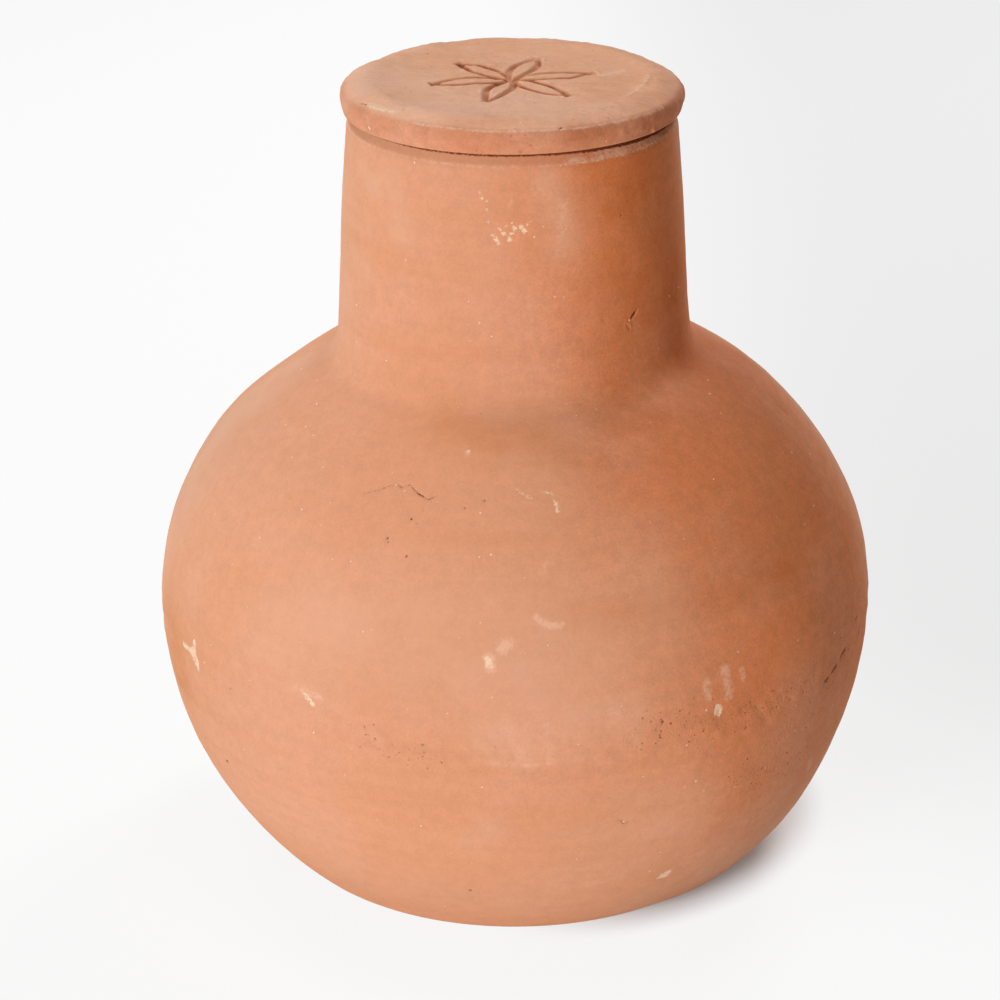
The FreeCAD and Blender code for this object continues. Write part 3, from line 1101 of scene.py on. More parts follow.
BASE_MARKS = (
    Mark(FLAKE, ((27.0, 25.0), (28.4, 26.0), (29.2, 27.6)), 2.2, 0.2, tapered=True),
    Mark(BLOOM, ((58.0, 53.0), (59.5, 49.0)), 1.6, strength=0.8),
    Mark(BLOOM, ((-7.8, 49.8), (-4.8, 57.5)), 5.0, strength=0.35),
    Mark(DUST, ((9.5, 27.0), (18.8, 30.2)), 3.5, strength=0.35),
    Mark(CREVICE_SHADE, ((16.6, 57.6), (17.8, 56.4)), 1.0, 0.4, 0.65),
    Mark(FLAKE, ((17.2, 57.2),), 0.8, -0.3),
    Mark(CREVICE_SHADE, ((-56.2, 55.8),), 0.9, 0.5),
    Mark(CREVICE_SHADE, ((-8.6, 25.8),), 0.9, 0.4, 0.9),
    Mark(PITTED, ((36.0, 66.0), (44.0, 62.0), (53.0, 60.0)), 8.0),
    Mark(PITTED, ((44.0, 72.0), (54.0, 76.0)), 8.0, strength=0.9),
    Mark(BLOOM, ((46.0, 80.0), (56.0, 66.0), (50.0, 42.0)), 18.0, strength=0.2),
    # Painted light: these two low blooms lighten the bottom of the belly, as light thrown up from the floor
    # would
    Mark(BLOOM, ((30.0, 12.0), (50.0, 18.0), (84.0, 54.0)), 15.0, strength=0.35),
    Mark(BLOOM, ((-40.0, 26.0), (-8.0, 20.0)), 14.0, strength=0.15),
)

JAR_MARKS = (*NECK_MARKS, *SHOULDER_MARKS, *JOINT_MARKS, *BASE_MARKS)

LID_MARKS = (
    Mark(CREVICE_SHADE, ((-64.5, 5.0), (-62.0, 5.6), (-60.0, 5.0)), 0.4, 0.4, 0.8),
    Mark(FLAKE, ((-59.0, 5.4), (-52.0, 5.6), (-46.0, 6.6)), 0.6, -0.1),
    Mark(FLAKE, ((80.0, 15.4), (92.0, 14.8)), 0.35, -0.1),
    Mark(FLAKE, ((98.0, 19.0), (94.0, 22.0)), 0.5, -0.1),
    Mark(DUST, ((-60.0, 6.4), (-45.0, 7.0)), 2.0, -0.1, 0.7),
    Mark(FLAKE, ((-53.7, -1.6),), 0.7, -0.3),
    Mark(FLAKE, ((-33.8, 4.2),), 0.5, -0.2),
    Mark(DUST, ((-34.0, 3.6), (-12.0, 3.4), (14.0, 3.4), (30.0, 3.2), (60.0, 3.0)), 0.6, -0.1, 0.7),
    Mark(DUST, ((24.0, 1.4), (40.0, 1.8), (60.0, 0.8)), 2.4, strength=0.2),
    Mark(DUST, ((-80.0, 26.0), (-50.0, 20.0), (-10.0, 17.0), (20.0, 19.0)), 7.0, strength=0.25),
    Mark(DUST, ((57.0, 16.0), (72.0, 15.6), (88.0, 15.4)), 1.2, -0.25, 0.6),
    Mark(DUST, ((-112.0, 20.0), (-108.0, 22.0)), 2.2, strength=0.6),
    Mark(CREVICE_SHADE, ((15.4, 3.4), (16.6, 4.2)), 0.45, 0.4, 0.8),
    Mark(PITTED, ((20.0, 2.0), (40.0, 2.4), (62.0, 1.0)), 4.0, 0.05, 0.45),
    Mark(STAIN_AND_SHADE, ((20.0, 2.0), (34.0, 1.0)), 4.0, strength=0.8),
    Mark(BLOOM, ((-76.0, 9.0), (-100.0, 9.0)), 7.0, strength=0.6),
    Mark(DUST, ((2.1, -3.6),), 0.8, -1.0, 0.3),
    Mark(DUST, ((54.2, -3.6),), 0.9, -1.0, 0.4),
    Mark(DUST, ((-152.9, 6.0), (-149.0, 6.4)), 1.6, -0.5, 0.2),
    Mark(DUST, ((-126.0, 21.0), (-112.0, 19.0)), 3.0, strength=0.5),
    Mark(DUST, ((104.0, 22.0), (96.0, 30.0)), 2.2, strength=0.8),
    Mark(STAIN_AND_SHADE, ((-100.0, 0.0), (-140.0, 2.0)), 4.0, strength=0.5),
)


def flash_and_painted_shade(turn_deg: Array, points: Array) -> Array:
    """How strongly the clay takes its deeper orange tone, partly where the kiln's flame struck it and partly
    painted shade on the side that the key lamp leaves dark: a ramp up over the front right, and down behind.

    Args:
        turn_deg: Angle of each point, in degrees.
        points: The points, for a broad random shift of the ramps.

    Returns:
        Weights from 0 to 1.
    """
    turn = turn_deg + 6 * Ripple(17, 90 * MM).at(points)
    return smooth_step(5, 52, turn) * smooth_step(190, 100, turn)


@dataclass
class Jar:
    """The fired jar: its half section, the potter's traces on it, and its three luted pieces.

    The belly is two half ellipses on one widest circle, the neck a straight taper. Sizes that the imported
    model's boxes show are read from them.
    """

    foot_radius: float = 80.8 * MM
    hollow_radius: float = 58.0 * MM
    hollow_depth: float = 2.0 * MM
    root_radius: float = 60.6 * MM
    rim_radius: float = 55.0 * MM
    throat_radius: float = 52.5 * MM
    wall: float = 8.5 * MM
    floor: float = 11.0 * MM
    root_reach: float = 7.0 * MM
    bevel_height: float = 4.2 * MM
    bevel_width: float = 3.6 * MM
    foot_reach: float = 0.6 * MM
    rings: tuple[Ring, ...] = (
        Ring(34, 9, -0.15, 40),
        Ring(58, 11, 0.15, -30),
        Ring(106, 6, -0.15, 20),
        Ring(130, 6, -0.2, 30),
        Ring(150, 9, 0.2, -20),
        Ring(167, 6, -0.1, 0),
        Ring(196, 8, -0.2, 15),
        Ring(232, 12, 0.15, -40),
    )
    belly_radius: float = field(init=False)
    widest_height: float = field(init=False)
    root_height: float = field(init=False)
    rim_height: float = field(init=False)
    rim_place: float = field(init=False)
    section: HalfSection = field(init=False)

    def __post_init__(self) -> None:
        """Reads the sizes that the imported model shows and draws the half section."""
        self.belly_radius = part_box("base_bowl")[1].x
        self.widest_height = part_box("base_bowl")[1].z
        self.root_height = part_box("neck_collar")[0].z
        self.rim_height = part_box("neck_collar")[1].z
        self.section = HalfSection(self.outline())
        self.rim_place = self.section.place_near(self.rim_radius - self.wall / 2, self.rim_height)

    def belly_run(self, inset: float, through: tuple[float, float], end_radius: float) -> Array:
        """A run of the belly's wall from the widest circle to a radius.

        It lies on the ellipse r = a cos t, z = widest + c sin t that passes through a point of the outside,
        with a and c drawn in by the inset.

        Args:
            inset: Wall thickness to draw in by, 0 for the outside.
            through: Radius and height of a point of the outside.
            end_radius: Radius where the run ends.

        Returns:
            Points from the widest circle to the end.
        """
        rise = through[1] - self.widest_height
        outside = rise / math.sqrt(1 - (through[0] / self.belly_radius) ** 2)
        wide = self.belly_radius - inset
        tall = outside - math.copysign(inset, rise)
        t = np.linspace(0, math.acos(end_radius / wide), 600)
        return np.stack([wide * np.cos(t), self.widest_height + tall * np.sin(t)], axis=1)

    def outline(self) -> Array:
        """The half section from the middle of the underside, over the rim, to the middle of the floor.

        Returns:
            Points of shape (n, 2).
        """
        foot = (self.foot_radius, 0.0)
        root = (self.root_radius, self.root_height)
        taper = (self.root_radius - self.rim_radius) / (self.rim_height - self.root_height)
        bevel_foot = (self.rim_radius + taper * self.bevel_height, self.rim_height - self.bevel_height)
        bevel_top = (self.rim_radius - self.bevel_width, self.rim_height)
        mouth = (self.rim_radius - self.wall, self.rim_height)
        r = np.linspace(0, self.hollow_radius, 300)
        hollow = np.stack([r, self.hollow_depth * (1 - (r / self.hollow_radius) ** 2)], axis=1)
        lower = self.belly_run(0, foot, self.foot_radius)
        upper = self.belly_run(0, root, self.root_radius)
        upper_inside = self.belly_run(self.wall, root, self.throat_radius)
        inside = self.belly_run(self.wall, foot, self.foot_radius)
        lower_inside = inside[inside[:, 1] > self.floor]
        runs = [
            hollow,
            straight((self.hollow_radius, 0.0), foot),
            np.concatenate([lower[::-1], upper[1:]]),
            straight(root, bevel_foot),
            straight(bevel_foot, bevel_top),
            straight(bevel_top, mouth),
            straight(mouth, tuple(upper_inside[-1])),
            np.concatenate([upper_inside[::-1], lower_inside[1:]]),
            straight(tuple(lower_inside[-1]), (0.0, self.floor)),
        ]
        reaches = [4 * MM, self.foot_reach, self.root_reach, 1.6 * MM, 1.2 * MM, 2.4 * MM, 6 * MM, 12 * MM]
        return joined(runs, reaches)

    def outside_place(self, height: float) -> float:
        """Place on the outside of the half section at a height.

        Args:
            height: Height above the floor.

        Returns:
            Length from the line's start.
        """
        places = self.section.places
        outside = (places > self.foot_radius - 3 * MM) & (places < self.rim_place)
        return float(np.interp(height, self.section.points[outside, 1], places[outside]))

    def inside_place(self, height: float) -> float:
        """Place on the inside of the half section at a height."""
        inside = self.section.places > self.rim_place
        return float(np.interp(-height, -self.section.points[inside, 1], self.section.places[inside]))

    def stops(self, path: Path) -> Array:
        """A mark's path as rows of (angle, place, radius) on the outside."""
        places = np.array([self.outside_place(height * MM) for _, height in path])
        return self.section.stops(path, places)

    def hand_relief_mm(self, angles: Array, points: Array) -> Array:
        """How far the potter's hand moved the outside, in mm.

        The sum of an oval 0.4 sin 2a, one bell curve per ring, a fine spiral ridge, broad dents, small lumps,
        a shoulder and a foot that are fuller on the right, and a rough joint at the widest circle.

        Args:
            angles: Angles of the columns.
            points: Points of the true turned surface.

        Returns:
            Relief along the outward normal.
        """
        height_mm = points[..., 2] / MM
        relief = 0.4 * np.sin(2 * angles) * np.ones_like(height_mm)
        for ring in self.rings:
            swell = 0.65 + 0.35 * np.cos(angles - math.radians(ring.turn_deg))
            relief = relief + ring.rise_mm * swell * bell(ring.height_mm, ring.half_width_mm, height_mm)
        ridge_pitch_mm = 5.5
        patches = Ripple(11, 50 * MM).at(points)
        relief += 0.008 * (1 + patches) * np.sin(2 * np.pi * height_mm / ridge_pitch_mm + angles)
        relief += 0.2 * Ripple(12, 70 * MM).at(points)
        relief += 0.03 * Ripple(13, 18 * MM, flatten=2.0).at(points)
        relief += 1.2 * np.sin(angles) * bell(170, 13, height_mm)
        turn_deg = np.degrees(angles)
        right = smooth_step(10, 60, turn_deg) * smooth_step(150, 100, turn_deg)
        relief += 1.7 * right * bell(16, 26, height_mm)
        joint = bell(88, 8, height_mm) * (0.5 + 0.5 * smooth_step(-0.6, 0.8, Ripple(14, 45 * MM).at(points)))
        relief += joint * (0.13 * Ripple(15, 6 * MM).at(points) - 0.12)
        return relief

    def sheet(self, angles: Array, places: Array, marks: Sequence[Mark]) -> ClaySheet:
        """The clay surface on one stretch of the half section.

        Args:
            angles: Angles of the columns.
            places: Places of the rows.
            marks: Marks that may lie there.

        Returns:
            The surface with its shader fields.
        """
        line, normal = self.section.read(places)
        radius, height = line[:, :1], line[:, 1:]
        true_points = turned_points(radius, height, angles)
        turn_deg = np.degrees(angles)
        outside = smooth_step(self.rim_place + 3 * MM, self.rim_place - 3 * MM, places)[:, None]
        clear_of_floor = smooth_step(0.5 * MM, 6 * MM, height)
        fields, depth_mm = marked(marks, angles, places, self.stops)
        hand = self.hand_relief_mm(angles, true_points) - depth_mm
        finger_pitch = 13 * MM
        fingers = 0.35 * np.sin(2 * np.pi * height / finger_pitch + angles)
        fingers = fingers + 0.25 * Ripple(16, 30 * MM).at(true_points)
        at_rim = smooth_step(9 * MM, 2 * MM, np.abs(places - self.rim_place))[:, None]
        relief = (outside * hand * clear_of_floor + (1 - outside) * (1 - at_rim) * fingers) * MM
        points = moved_points(line, normal, relief, angles)
        joint = 0.5 * bell(89, 7, height / MM) * smooth_step(-1.0, 0.9, Ripple(14, 45 * MM).at(true_points))
        at_least(fields, PITTED, outside * joint)
        bevel_foot = self.rim_height - self.bevel_height
        on_bevel = smooth_step(bevel_foot, bevel_foot + 1 * MM, height) * outside
        worn = on_bevel * (0.25 + 0.75 * smooth_step(5, 40, turn_deg))
        worn_edge = 0.5 * bell(bevel_foot / MM, 0.8, height / MM) * outside
        # Painted shade: a dark band of the crevice kind on the bevel just under the lid's edge, wider to the
        # right and stronger in front, stands for the shadow in the gap between lid and rim
        gap_shade_mm = 2.0 + 0.9 * smooth_step(0, 50, turn_deg)
        below_rim_mm = (height - self.rim_height) / MM
        painted_gap_shade = smooth_step(0, 1, below_rim_mm + gap_shade_mm) * outside
        painted_gap_shade = painted_gap_shade * smooth_step(-0.4, -1.1, below_rim_mm)
        painted_gap_shade = painted_gap_shade * (0.4 + 0.6 * smooth_step(-0.2, 0.3, np.cos(angles)))
        pores = 0.35 * smooth_step(-20, 40, turn_deg) * outside
        at_least(fields, PITTED, pores)
        # The bevel's dust and pits are wear; its stain is painted shade from the lid's edge above it
        at_least(fields, DUST, np.maximum(worn_edge, 0.65 * worn))
        at_least(fields, PITTED, 0.8 * worn)
        at_least(fields, STAIN_AND_SHADE, 0.5 * worn)
        at_least(fields, CREVICE_SHADE, painted_gap_shade)
        # Painted shade and kiln flashing: a deeper tone over the right side, away from the key lamp, weaker
        # near the foot
        neck_lead = 14 * smooth_step(175 * MM, 200 * MM, height)
        flash_and_shade_by_height = 0.3 + 0.7 * smooth_step(12 * MM, 65 * MM, height)
        fields[FLASH_AND_SHADE_FIELD] = flash_and_shade_by_height * flash_and_painted_shade(turn_deg + neck_lead, true_points)
        return ClaySheet(points, fields)

    @staticmethod
    def joint_face(first: ClaySheet, last: ClaySheet) -> ClaySheet:
        """One row half way across the luted face between the end of one sheet and the start of the next.

        Args:
            first: Sheet that ends at the face.
            last: Sheet that starts at the face.

        Returns:
            A sheet of one row, with no marks.
        """
        points = (first.points[-1:] + last.points[:1]) / 2
        fields = {key: np.zeros_like(value[-1:]) for key, value in first.fields.items()}
        fields[FLAKE.value] += FLAKE_OUTSIDE_MM
        return ClaySheet(points, fields)

    def base_bowl(self) -> bpy.types.Object:
        """The lower bowl, from the underside to the joint at the widest circle.

        Returns:
            The piece, not yet dressed.
        """
        angles = column_angles(self.belly_radius, 0.95 * MM, 1.75 * MM)
        foot = self.outside_place(2 * MM)
        joint = self.outside_place(self.widest_height)
        inner_joint = self.inside_place(self.widest_height)
        under = graded(1 * MM, foot, 6 * MM, [(foot - 12 * MM, foot, 1.6 * MM)])[:-1]
        wall = graded(foot, joint, 1.12 * MM, [(joint - 3 * MM, joint, 0.5 * MM)])
        inner = graded(inner_joint, self.section.length - 1 * MM, 6 * MM)
        outside = self.sheet(angles, np.concatenate([under, wall]), JAR_MARKS)
        inside = self.sheet(angles, inner, ())
        return shell_object("base_bowl_clay", [outside, self.joint_face(outside, inside), inside], poles=True)

    def shoulder_bowl(self) -> bpy.types.Object:
        """The upper bowl, from the joint at the widest circle to the neck's root.

        Returns:
            The piece, not yet dressed.
        """
        crack = (-31, -14, 0.42 * MM)
        angles = column_angles(self.belly_radius, 1.0 * MM, 1.8 * MM, [crack])
        joint = self.outside_place(self.widest_height)
        root = self.outside_place(self.root_height)
        crack_rows = (self.outside_place(159.5 * MM), self.outside_place(164.5 * MM), 0.42 * MM)
        near_root = (root - 4 * MM, root, 0.5 * MM)
        at_root = (root - 1 * MM, root, 0.12 * MM)
        outer = graded(joint, root, 1.25 * MM, [crack_rows, near_root, at_root])
        inner = graded(self.inside_place(self.root_height), self.inside_place(self.widest_height), 6 * MM)
        outside = self.sheet(angles, outer, JAR_MARKS)
        inside = self.sheet(angles, inner, ())
        sheets = [outside, self.joint_face(outside, inside), inside, self.joint_face(inside, outside)]
        return shell_object("shoulder_bowl_clay", sheets, poles=False)

    def neck_collar(self) -> bpy.types.Object:
        """The neck, from its root over the rim and down the bore.

        Returns:
            The piece, not yet dressed.
        """
        gouge = (36, 45, 0.35 * MM)
        scuff = (-12, 6, 0.35 * MM)
        angles = column_angles(self.root_radius, 0.7 * MM, 1.3 * MM, [gouge, scuff])
        root = self.outside_place(self.root_height)
        gouge_rows = (self.outside_place(202 * MM), self.outside_place(210 * MM), 0.45 * MM)
        scuff_rows = (self.outside_place(234 * MM), self.outside_place(254 * MM), 0.45 * MM)
        near_root = (root, root + 4 * MM, 0.5 * MM)
        at_root = (root, root + 1 * MM, 0.12 * MM)
        bevel = self.outside_place(self.rim_height - self.bevel_height)
        at_bevel = (bevel - 2 * MM, bevel + 8 * MM, 0.45 * MM)
        finer = [gouge_rows, scuff_rows, near_root, at_root, at_bevel]
        outer = graded(root, self.rim_place + 6 * MM, 1.0 * MM, finer)
        inner = graded(self.rim_place + 6 * MM, self.inside_place(self.root_height), 4 * MM)[1:]
        wall = self.sheet(angles, np.concatenate([outer, inner]), JAR_MARKS)
        return shell_object("neck_collar_clay", [wall, self.joint_face(wall, wall)], poles=False)

    def build(self, clay: bpy.types.Material) -> None:
        """Builds and dresses the three pieces.

        Args:
            clay: Their material.
        """
        dress(self.base_bowl(), "base_bowl", "jar", clay)
        dress(self.shoulder_bowl(), "shoulder_bowl", "jar", clay)
        dress(self.neck_collar(), "neck_collar", "jar", clay)


@dataclass
class Lid:
    """The loose lid: a thick disc with a rolled edge and a carved rosette, and its locating ring."""

    undercut: float = 1.4 * MM
    widest_rise: float = 4.4 * MM
    roll_width: float = 11.0 * MM
    roll_power: float = 2.0
    crest_past: float = 3.0 * MM
    dish_depth: float = 0.8 * MM
    dish_slope: float = 5.0 * MM
    petal: float = 27.0 * MM
    groove_half_width: float = 1.25 * MM
    groove_depth_mm: float = 1.2
    ring_wall: float = 8.0 * MM
    ring_taper: float = 1.0 * MM
    bottom: float = field(init=False)
    top: float = field(init=False)
    radius: float = field(init=False)
    section: HalfSection = field(init=False)
    widest_place: float = field(init=False)

    def __post_init__(self) -> None:
        """Reads the disc's box and draws its half section."""
        low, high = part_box("lid_disc")
        self.bottom, self.top, self.radius = low.z, high.z, high.x
        self.section = HalfSection(self.outline())
        self.widest_place = self.section.place_near(self.radius, self.bottom + self.widest_rise)

    def outline(self) -> Array:
        """The disc's half section, from the centre of its underside round the edge to the centre of its top.

        The rolled edge is a quarter of |x|^n + |y|^n = 1, stretched to the roll's width and height.

        Returns:
            Points of shape (n, 2).
        """
        widest = self.bottom + self.widest_rise
        crown = self.radius - self.roll_width
        dish = self.top - self.dish_depth
        under_edge = (self.radius - self.undercut, self.bottom)
        t = np.linspace(0, np.pi / 2, 400)
        across = self.roll_width * np.clip(np.cos(t), 0, 1) ** (2 / self.roll_power)
        rise = (self.top - widest) * np.sin(t) ** (2 / self.roll_power)
        roll = np.stack([crown + across, widest + rise], axis=1)
        runs = [
            straight((0.0, self.bottom), under_edge),
            straight(under_edge, (self.radius, widest)),
            roll,
            straight((crown, self.top), (crown - self.dish_slope, dish)),
            straight((crown - self.dish_slope, dish), (0.0, dish)),
        ]
        return joined(runs, [0.4 * MM, 1.5 * MM, 2 * MM, 2 * MM], 0.1 * MM)

    def stops(self, path: Path) -> Array:
        """A mark's path as rows of (angle, place, radius); its places count from the widest circle."""
        places = np.array([self.widest_place + past * MM for _, past in path])
        return self.section.stops(path, places)

    def rosette_mm(self, points: Array) -> tuple[Array, Array]:
        """A six-petalled compass rosette, cut freehand into the top.

        Its grooves follow | |p - c| - R | = 0 for six centres c at the distance R from the middle, where
        |p| < R.

        Args:
            points: Points of the plain top.

        Returns:
            Depth of the cut and height of the burr beside it, in mm.
        """
        wander = np.stack([Ripple(31, 18 * MM).at(points), Ripple(32, 18 * MM).at(points)], axis=-1)
        flat = points[..., :2] + 0.35 * MM * wander
        turns = np.radians(12 + 60 * np.arange(6))
        centres = self.petal * np.stack([np.cos(turns), np.sin(turns)], axis=1)
        gaps = np.abs(np.linalg.norm(flat[..., None, :] - centres, axis=-1) - self.petal).min(-1)
        gaps = np.maximum(gaps, np.linalg.norm(flat, axis=-1) - self.petal)
        press = 1 + 0.2 * Ripple(33, 14 * MM).at(points)
        cut = smooth_step(self.groove_half_width * 1.25, self.groove_half_width * 0.35, gaps) * press
        burr = bell(1.75 * self.groove_half_width, 0.55 * self.groove_half_width, gaps)
        burr = burr * smooth_step(-0.4, 1.2, Ripple(34, 9 * MM).at(points))
        return self.groove_depth_mm * cut, 0.22 * burr

    def disc(self) -> bpy.types.Object:
        """The thick disc, with the traces of hands and a knife.

        Returns:
            The piece, not yet dressed.
        """
        angles = column_angles(self.radius, 0.5 * MM, 0.66 * MM)
        edge = self.section.place_near(self.radius - self.undercut, self.bottom)
        carved = self.section.length - self.petal - 2 * MM
        finer = [(edge - 1 * MM, edge + 20 * MM, 0.55 * MM), (carved, self.section.length, 0.42 * MM)]
        places = graded(1 * MM, self.section.length - 0.5 * MM, 3.5 * MM, finer)
        line, normal = self.section.read(places)
        radius, height = line[:, :1], line[:, 1:]
        true_points = turned_points(radius, height, angles)
        fields, depth_mm = marked(LID_MARKS, angles, places, self.stops)
        on_top = smooth_step(self.widest_place + 4 * MM, self.widest_place + 12 * MM, places)[:, None]
        above_seat = smooth_step(edge + 0.1 * MM, edge + 1.2 * MM, places)[:, None]
        crest = self.widest_place + self.crest_past
        on_front = smooth_step(0.2, 0.8, np.cos(angles - 0.2))
        crest_rise = 0.7 * bell(crest / MM, 1.8, places / MM)[:, None] * on_front
        cut, burr = self.rosette_mm(true_points)
        hand = 0.16 * Ripple(21, 34 * MM).at(true_points) + 0.055 * Ripple(22, 9 * MM).at(true_points)
        hand += 0.045 * Ripple(23, 4 * MM).at(true_points)
        relief = (above_seat * (hand - depth_mm) + crest_rise + on_top * (burr - cut)) * MM
        points = moved_points(line, normal, relief, angles)
        # Painted shade: the stain in the cut grooves darkens them as their own shadow would
        at_least(fields, STAIN_AND_SHADE, 0.85 * on_top * np.clip(cut, 0, 1))
        at_least(fields, DUST, on_top * burr * 3)
        on_side = smooth_step(crest + 2.5 * MM, crest - 0.5 * MM, places)[:, None]
        # Painted shade under the disc, just inside its edge where it sits over the rim
        under = smooth_step(edge - 6 * MM, edge - 4 * MM, places) * smooth_step(edge + 0.5 * MM, edge, places)
        at_least(fields, CREVICE_SHADE, under[:, None])
        # The disc's side takes the deeper tone of flashing and painted shade all round, and its top does not
        flash_and_shade = np.maximum(0.85, flash_and_painted_shade(np.degrees(angles), true_points))
        fields[FLASH_AND_SHADE_FIELD] = on_side * flash_and_shade
        at_least(fields, PITTED, 0.45)
        return shell_object("lid_disc_clay", [ClaySheet(points, fields)], poles=True)

    def locating_ring(self) -> bpy.types.Object:
        """The ring under the disc, thinner towards its foot, as a closed loop turned round the axis.

        Returns:
            The piece, not yet dressed.
        """
        low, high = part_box("lid_locating_ring")
        inner = high.x - self.ring_wall
        inner_root, outer_root = (inner, high.z), (high.x, high.z)
        inner_foot, outer_foot = (inner + self.ring_taper, low.z), (high.x - self.ring_taper, low.z)
        runs = [
            straight(inner_root, inner_foot),
            straight(inner_foot, outer_foot),
            straight(outer_foot, outer_root),
            straight(outer_root, inner_root),
        ]
        section = HalfSection(joined(runs, [2 * MM, 2 * MM, 0.2 * MM]))
        angles = np.linspace(-np.pi, np.pi, 240, endpoint=False)
        places = graded(0, section.length - 0.7 * MM, 0.9 * MM)
        line, normal = section.read(places)
        radius, height = line[:, :1], line[:, 1:]
        true_points = turned_points(radius, height, angles)
        clear = smooth_step(high.z, high.z - 3 * MM, height)
        lumps = 0.2 * Ripple(25, 22 * MM).at(true_points) + 0.08 * Ripple(26, 6 * MM).at(true_points)
        relief = clear * (lumps - 0.3) * MM
        points = moved_points(line, normal, relief, angles)
        fields, _ = marked((), angles, places, self.stops)
        fields[PITTED.value] += 0.4
        fields[FLASH_AND_SHADE_FIELD] = np.full(fields[PITTED.value].shape, 0.3)
        return shell_object("lid_locating_ring_clay", [ClaySheet(points, fields)], poles=False)

    def build(self, clay: bpy.types.Material) -> None:
        """Builds and dresses the two pieces."""
        dress(self.disc(), "lid_disc", "lid", clay)
        dress(self.locating_ring(), "lid_locating_ring", "lid", clay)


@dataclass(frozen=True)
class Lamp:
    """A round soft lamp that points at the jar's middle.

    Args:
        name: Name of the lamp.
        turn_deg: Its angle round the jar, 0 towards the camera and growing to the right.
        rise_deg: Its angle above the jar's middle.
        watts: Its power.
        tint: Its colour.
        size: Its width.
        distance: How far it stands from the jar's middle.
        target: The jar's middle.
    """

    name: str
    turn_deg: float
    rise_deg: float
    watts: float
    tint: tuple[float, float, float] = (1.0, 1.0, 1.0)
    size: float = 0.6
    distance: float = 1.7
    target: tuple[float, float, float] = (0.0, 0.0, 0.14)

    def place(self) -> None:
        """Adds the lamp to the scene."""
        data = bpy.data.lights.new(self.name, "AREA")
        data.shape = "DISK"
        data.size = self.size
        data.energy = self.watts
        data.color = self.tint
        turn, rise = math.radians(self.turn_deg), math.radians(self.rise_deg)
        level = math.cos(rise)
        away = Vector((math.sin(turn) * level, -math.cos(turn) * level, math.sin(rise)))
        lamp = linked(self.name, data)
        spot = Vector(self.target) + self.distance * away
        lamp.matrix_world = Matrix.Translation(spot) @ away.to_track_quat("Z", "Y").to_matrix().to_4x4()


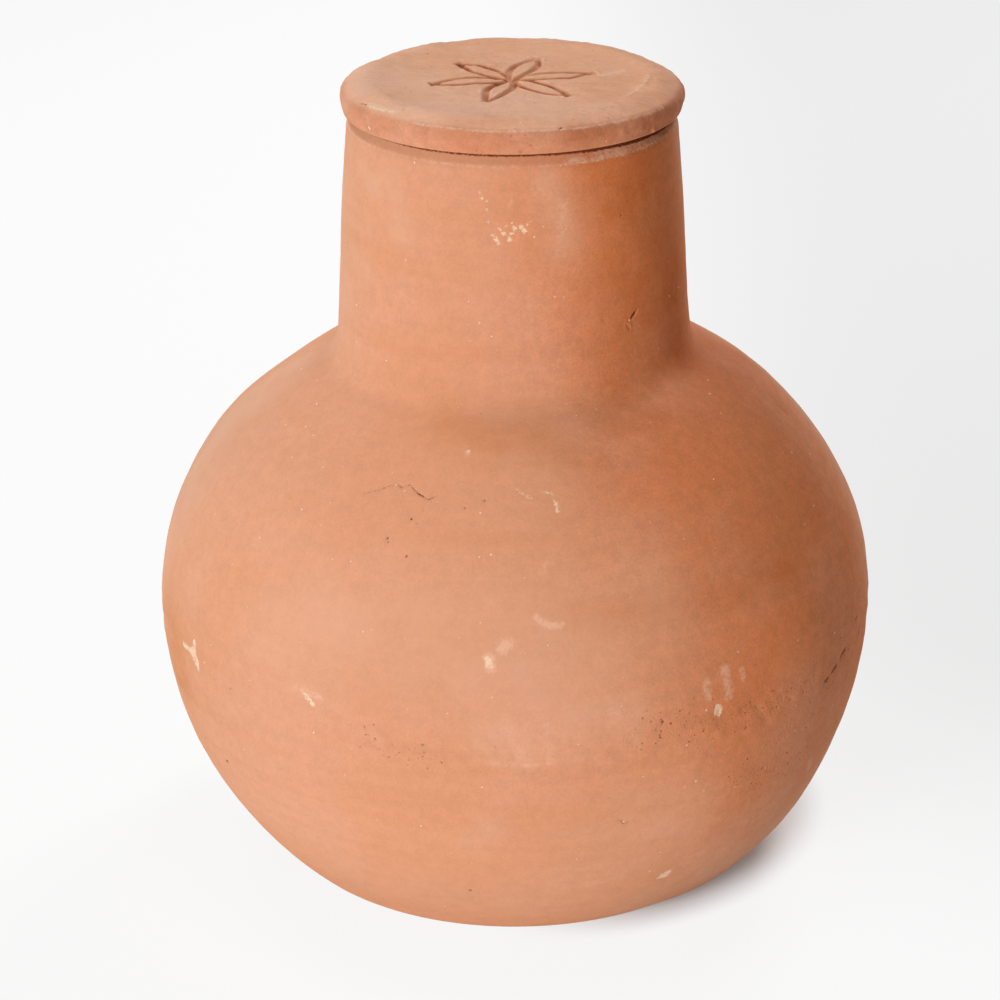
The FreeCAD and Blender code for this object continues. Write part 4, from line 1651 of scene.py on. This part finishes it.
@dataclass
class Stage:
    """Floor, light and camera.

    Args:
        camera_height: Height of the camera above the floor.
        camera_distance: Level distance from the camera to the jar's axis.
        pitch_deg: How far the camera looks down.
        pan_deg: How far it is turned to the left.
        roll_deg: How far it is rolled clockwise.
        lens_mm: Focal length on a 36 mm wide sensor.
        shadow_spot: Middle of the floor's patch that shows the jar's shadow.
        shadow_reach: Distances from the spot between which the shadow fades.
        backdrop_levels: Level of the seen floor, on the left and on the right behind the jar.
        glow: Share of the seen floor's light that is its own, away from the shadow.
        shade: How much of that share the shadow's patch gives up.
        albedo: Share of light that the floor throws back where it has no glow.
        lamps: The lamps.
    """

    camera_height: float = 0.5809
    camera_distance: float = 1.1
    pitch_deg: float = 22.566
    pan_deg: float = 0.2612
    roll_deg: float = 0.45
    lens_mm: float = 123.19
    shadow_spot: tuple[float, float, float] = (0.006, 0.016, 0.0)
    shadow_reach: tuple[float, float] = (0.088, 0.109)
    backdrop_levels: tuple[float, float] = (1.0, 0.84)
    glow: float = 0.88
    shade: float = 0.75
    albedo: float = 0.8
    lamps: tuple[Lamp, ...] = (
        Lamp("key", -30, 12, 20.5),
        Lamp("fill", 30, 12, 2.8, (1.0, 0.7, 0.45)),
        Lamp("top", 0, 88, 4.2),
        Lamp("back_right", 150, 35, 18.6),
        Lamp("back_left", -120, 60, 7.1),
    )

    def camera(self) -> None:
        """Puts the camera at the photograph's viewing angle."""
        data = bpy.data.cameras.new("camera")
        data.sensor_width = 36.0
        data.lens = self.lens_mm
        data.clip_start = 0.05
        data.clip_end = 50.0
        camera = linked("camera", data)
        camera.matrix_world = (
            Matrix.Translation((0.0, -self.camera_distance, self.camera_height))
            @ Matrix.Rotation(math.radians(self.pan_deg), 4, "Z")
            @ Matrix.Rotation(math.radians(90 - self.pitch_deg), 4, "X")
            @ Matrix.Rotation(math.radians(-self.roll_deg), 4, "Z")
        )
        bpy.context.scene.camera = camera

    @staticmethod
    def seen(wiring: Wiring) -> Socket:
        """1 for rays that the camera sees straight, in a gloss or through glass, and 0 for the rest.

        Args:
            wiring: Tree that asks.

        Returns:
            The weight.
        """
        path = wiring.add("ShaderNodeLightPath").outputs
        mirrored = wiring.calc("MAXIMUM", path["Is Glossy Ray"], path["Is Transmission Ray"])
        return wiring.calc("MAXIMUM", path["Is Camera Ray"], mirrored)

    def floor(self) -> None:
        """A wide pale floor that keeps the jar's shadow."""
        half = 6.0
        below = -0.3 * MM
        corners = [(-half, -half, below), (half, -half, below), (half, half, below), (-half, half, below)]
        mesh = bpy.data.meshes.new("floor")
        mesh.from_pydata(corners, [], [(0, 1, 2, 3)])
        floor = linked("floor", mesh)
        material = bpy.data.materials.new("pale_floor")
        wiring = empty_nodes(material)
        place = wiring.add("ShaderNodeTexCoord").outputs["Object"]
        gap = wiring.add("ShaderNodeVectorMath", {0: place, 1: self.shadow_spot}, operation="DISTANCE")
        away = gap.outputs["Value"]
        axes = wiring.add("ShaderNodeSeparateXYZ", {0: place}).outputs
        near = wiring.ramp(away, *self.shadow_reach, self.shade, 0.0)
        shade_share = wiring.calc("MULTIPLY", near, wiring.ramp(axes["X"], -0.01, 0.06))
        share = wiring.calc("SUBTRACT", self.glow, shade_share)
        glow_share = wiring.calc("MULTIPLY", self.seen(wiring), share)
        behind = wiring.ramp(axes["Y"], -0.2, 0.2)
        right = wiring.calc("MULTIPLY", wiring.ramp(axes["X"], -0.1, 0.25), behind)
        level = wiring.ramp(right, 0.0, 1.0, *self.backdrop_levels)
        albedo = wiring.calc("MULTIPLY", wiring.calc("SUBTRACT", 1.0, glow_share), self.albedo)
        lit = wiring.add("ShaderNodeBsdfDiffuse", {"Color": albedo})
        glow = wiring.add("ShaderNodeEmission", {"Strength": wiring.calc("MULTIPLY", glow_share, level)})
        both = wiring.add("ShaderNodeAddShader", {0: lit.outputs[0], 1: glow.outputs[0]})
        wiring.add("ShaderNodeOutputMaterial", {"Surface": both.outputs[0]})
        mesh.materials.append(material)

    def world(self) -> None:
        """White all round for the camera, and no light of its own."""
        world = bpy.data.worlds.new("studio")
        wiring = empty_nodes(world)
        sky = wiring.add("ShaderNodeBackground", {"Strength": self.seen(wiring)})
        wiring.add("ShaderNodeOutputWorld", {"Surface": sky.outputs[0]})
        bpy.context.scene.world = world

    def build(self) -> None:
        """Builds the whole stage."""
        self.camera()
        self.floor()
        self.world()
        for lamp in self.lamps:
            lamp.place()


def main() -> None:
    """Builds the jar, the lid and the stage."""
    logging.basicConfig(level=logging.INFO, format="%(message)s")
    bpy.context.scene.view_settings.view_transform = "Standard"
    effects = ClayEffects()
    Jar().build(JAR_FINISH.material(effects))
    Lid().build(LID_FINISH.material(effects))
    Stage().build()


if __name__ == "__main__":
    main()
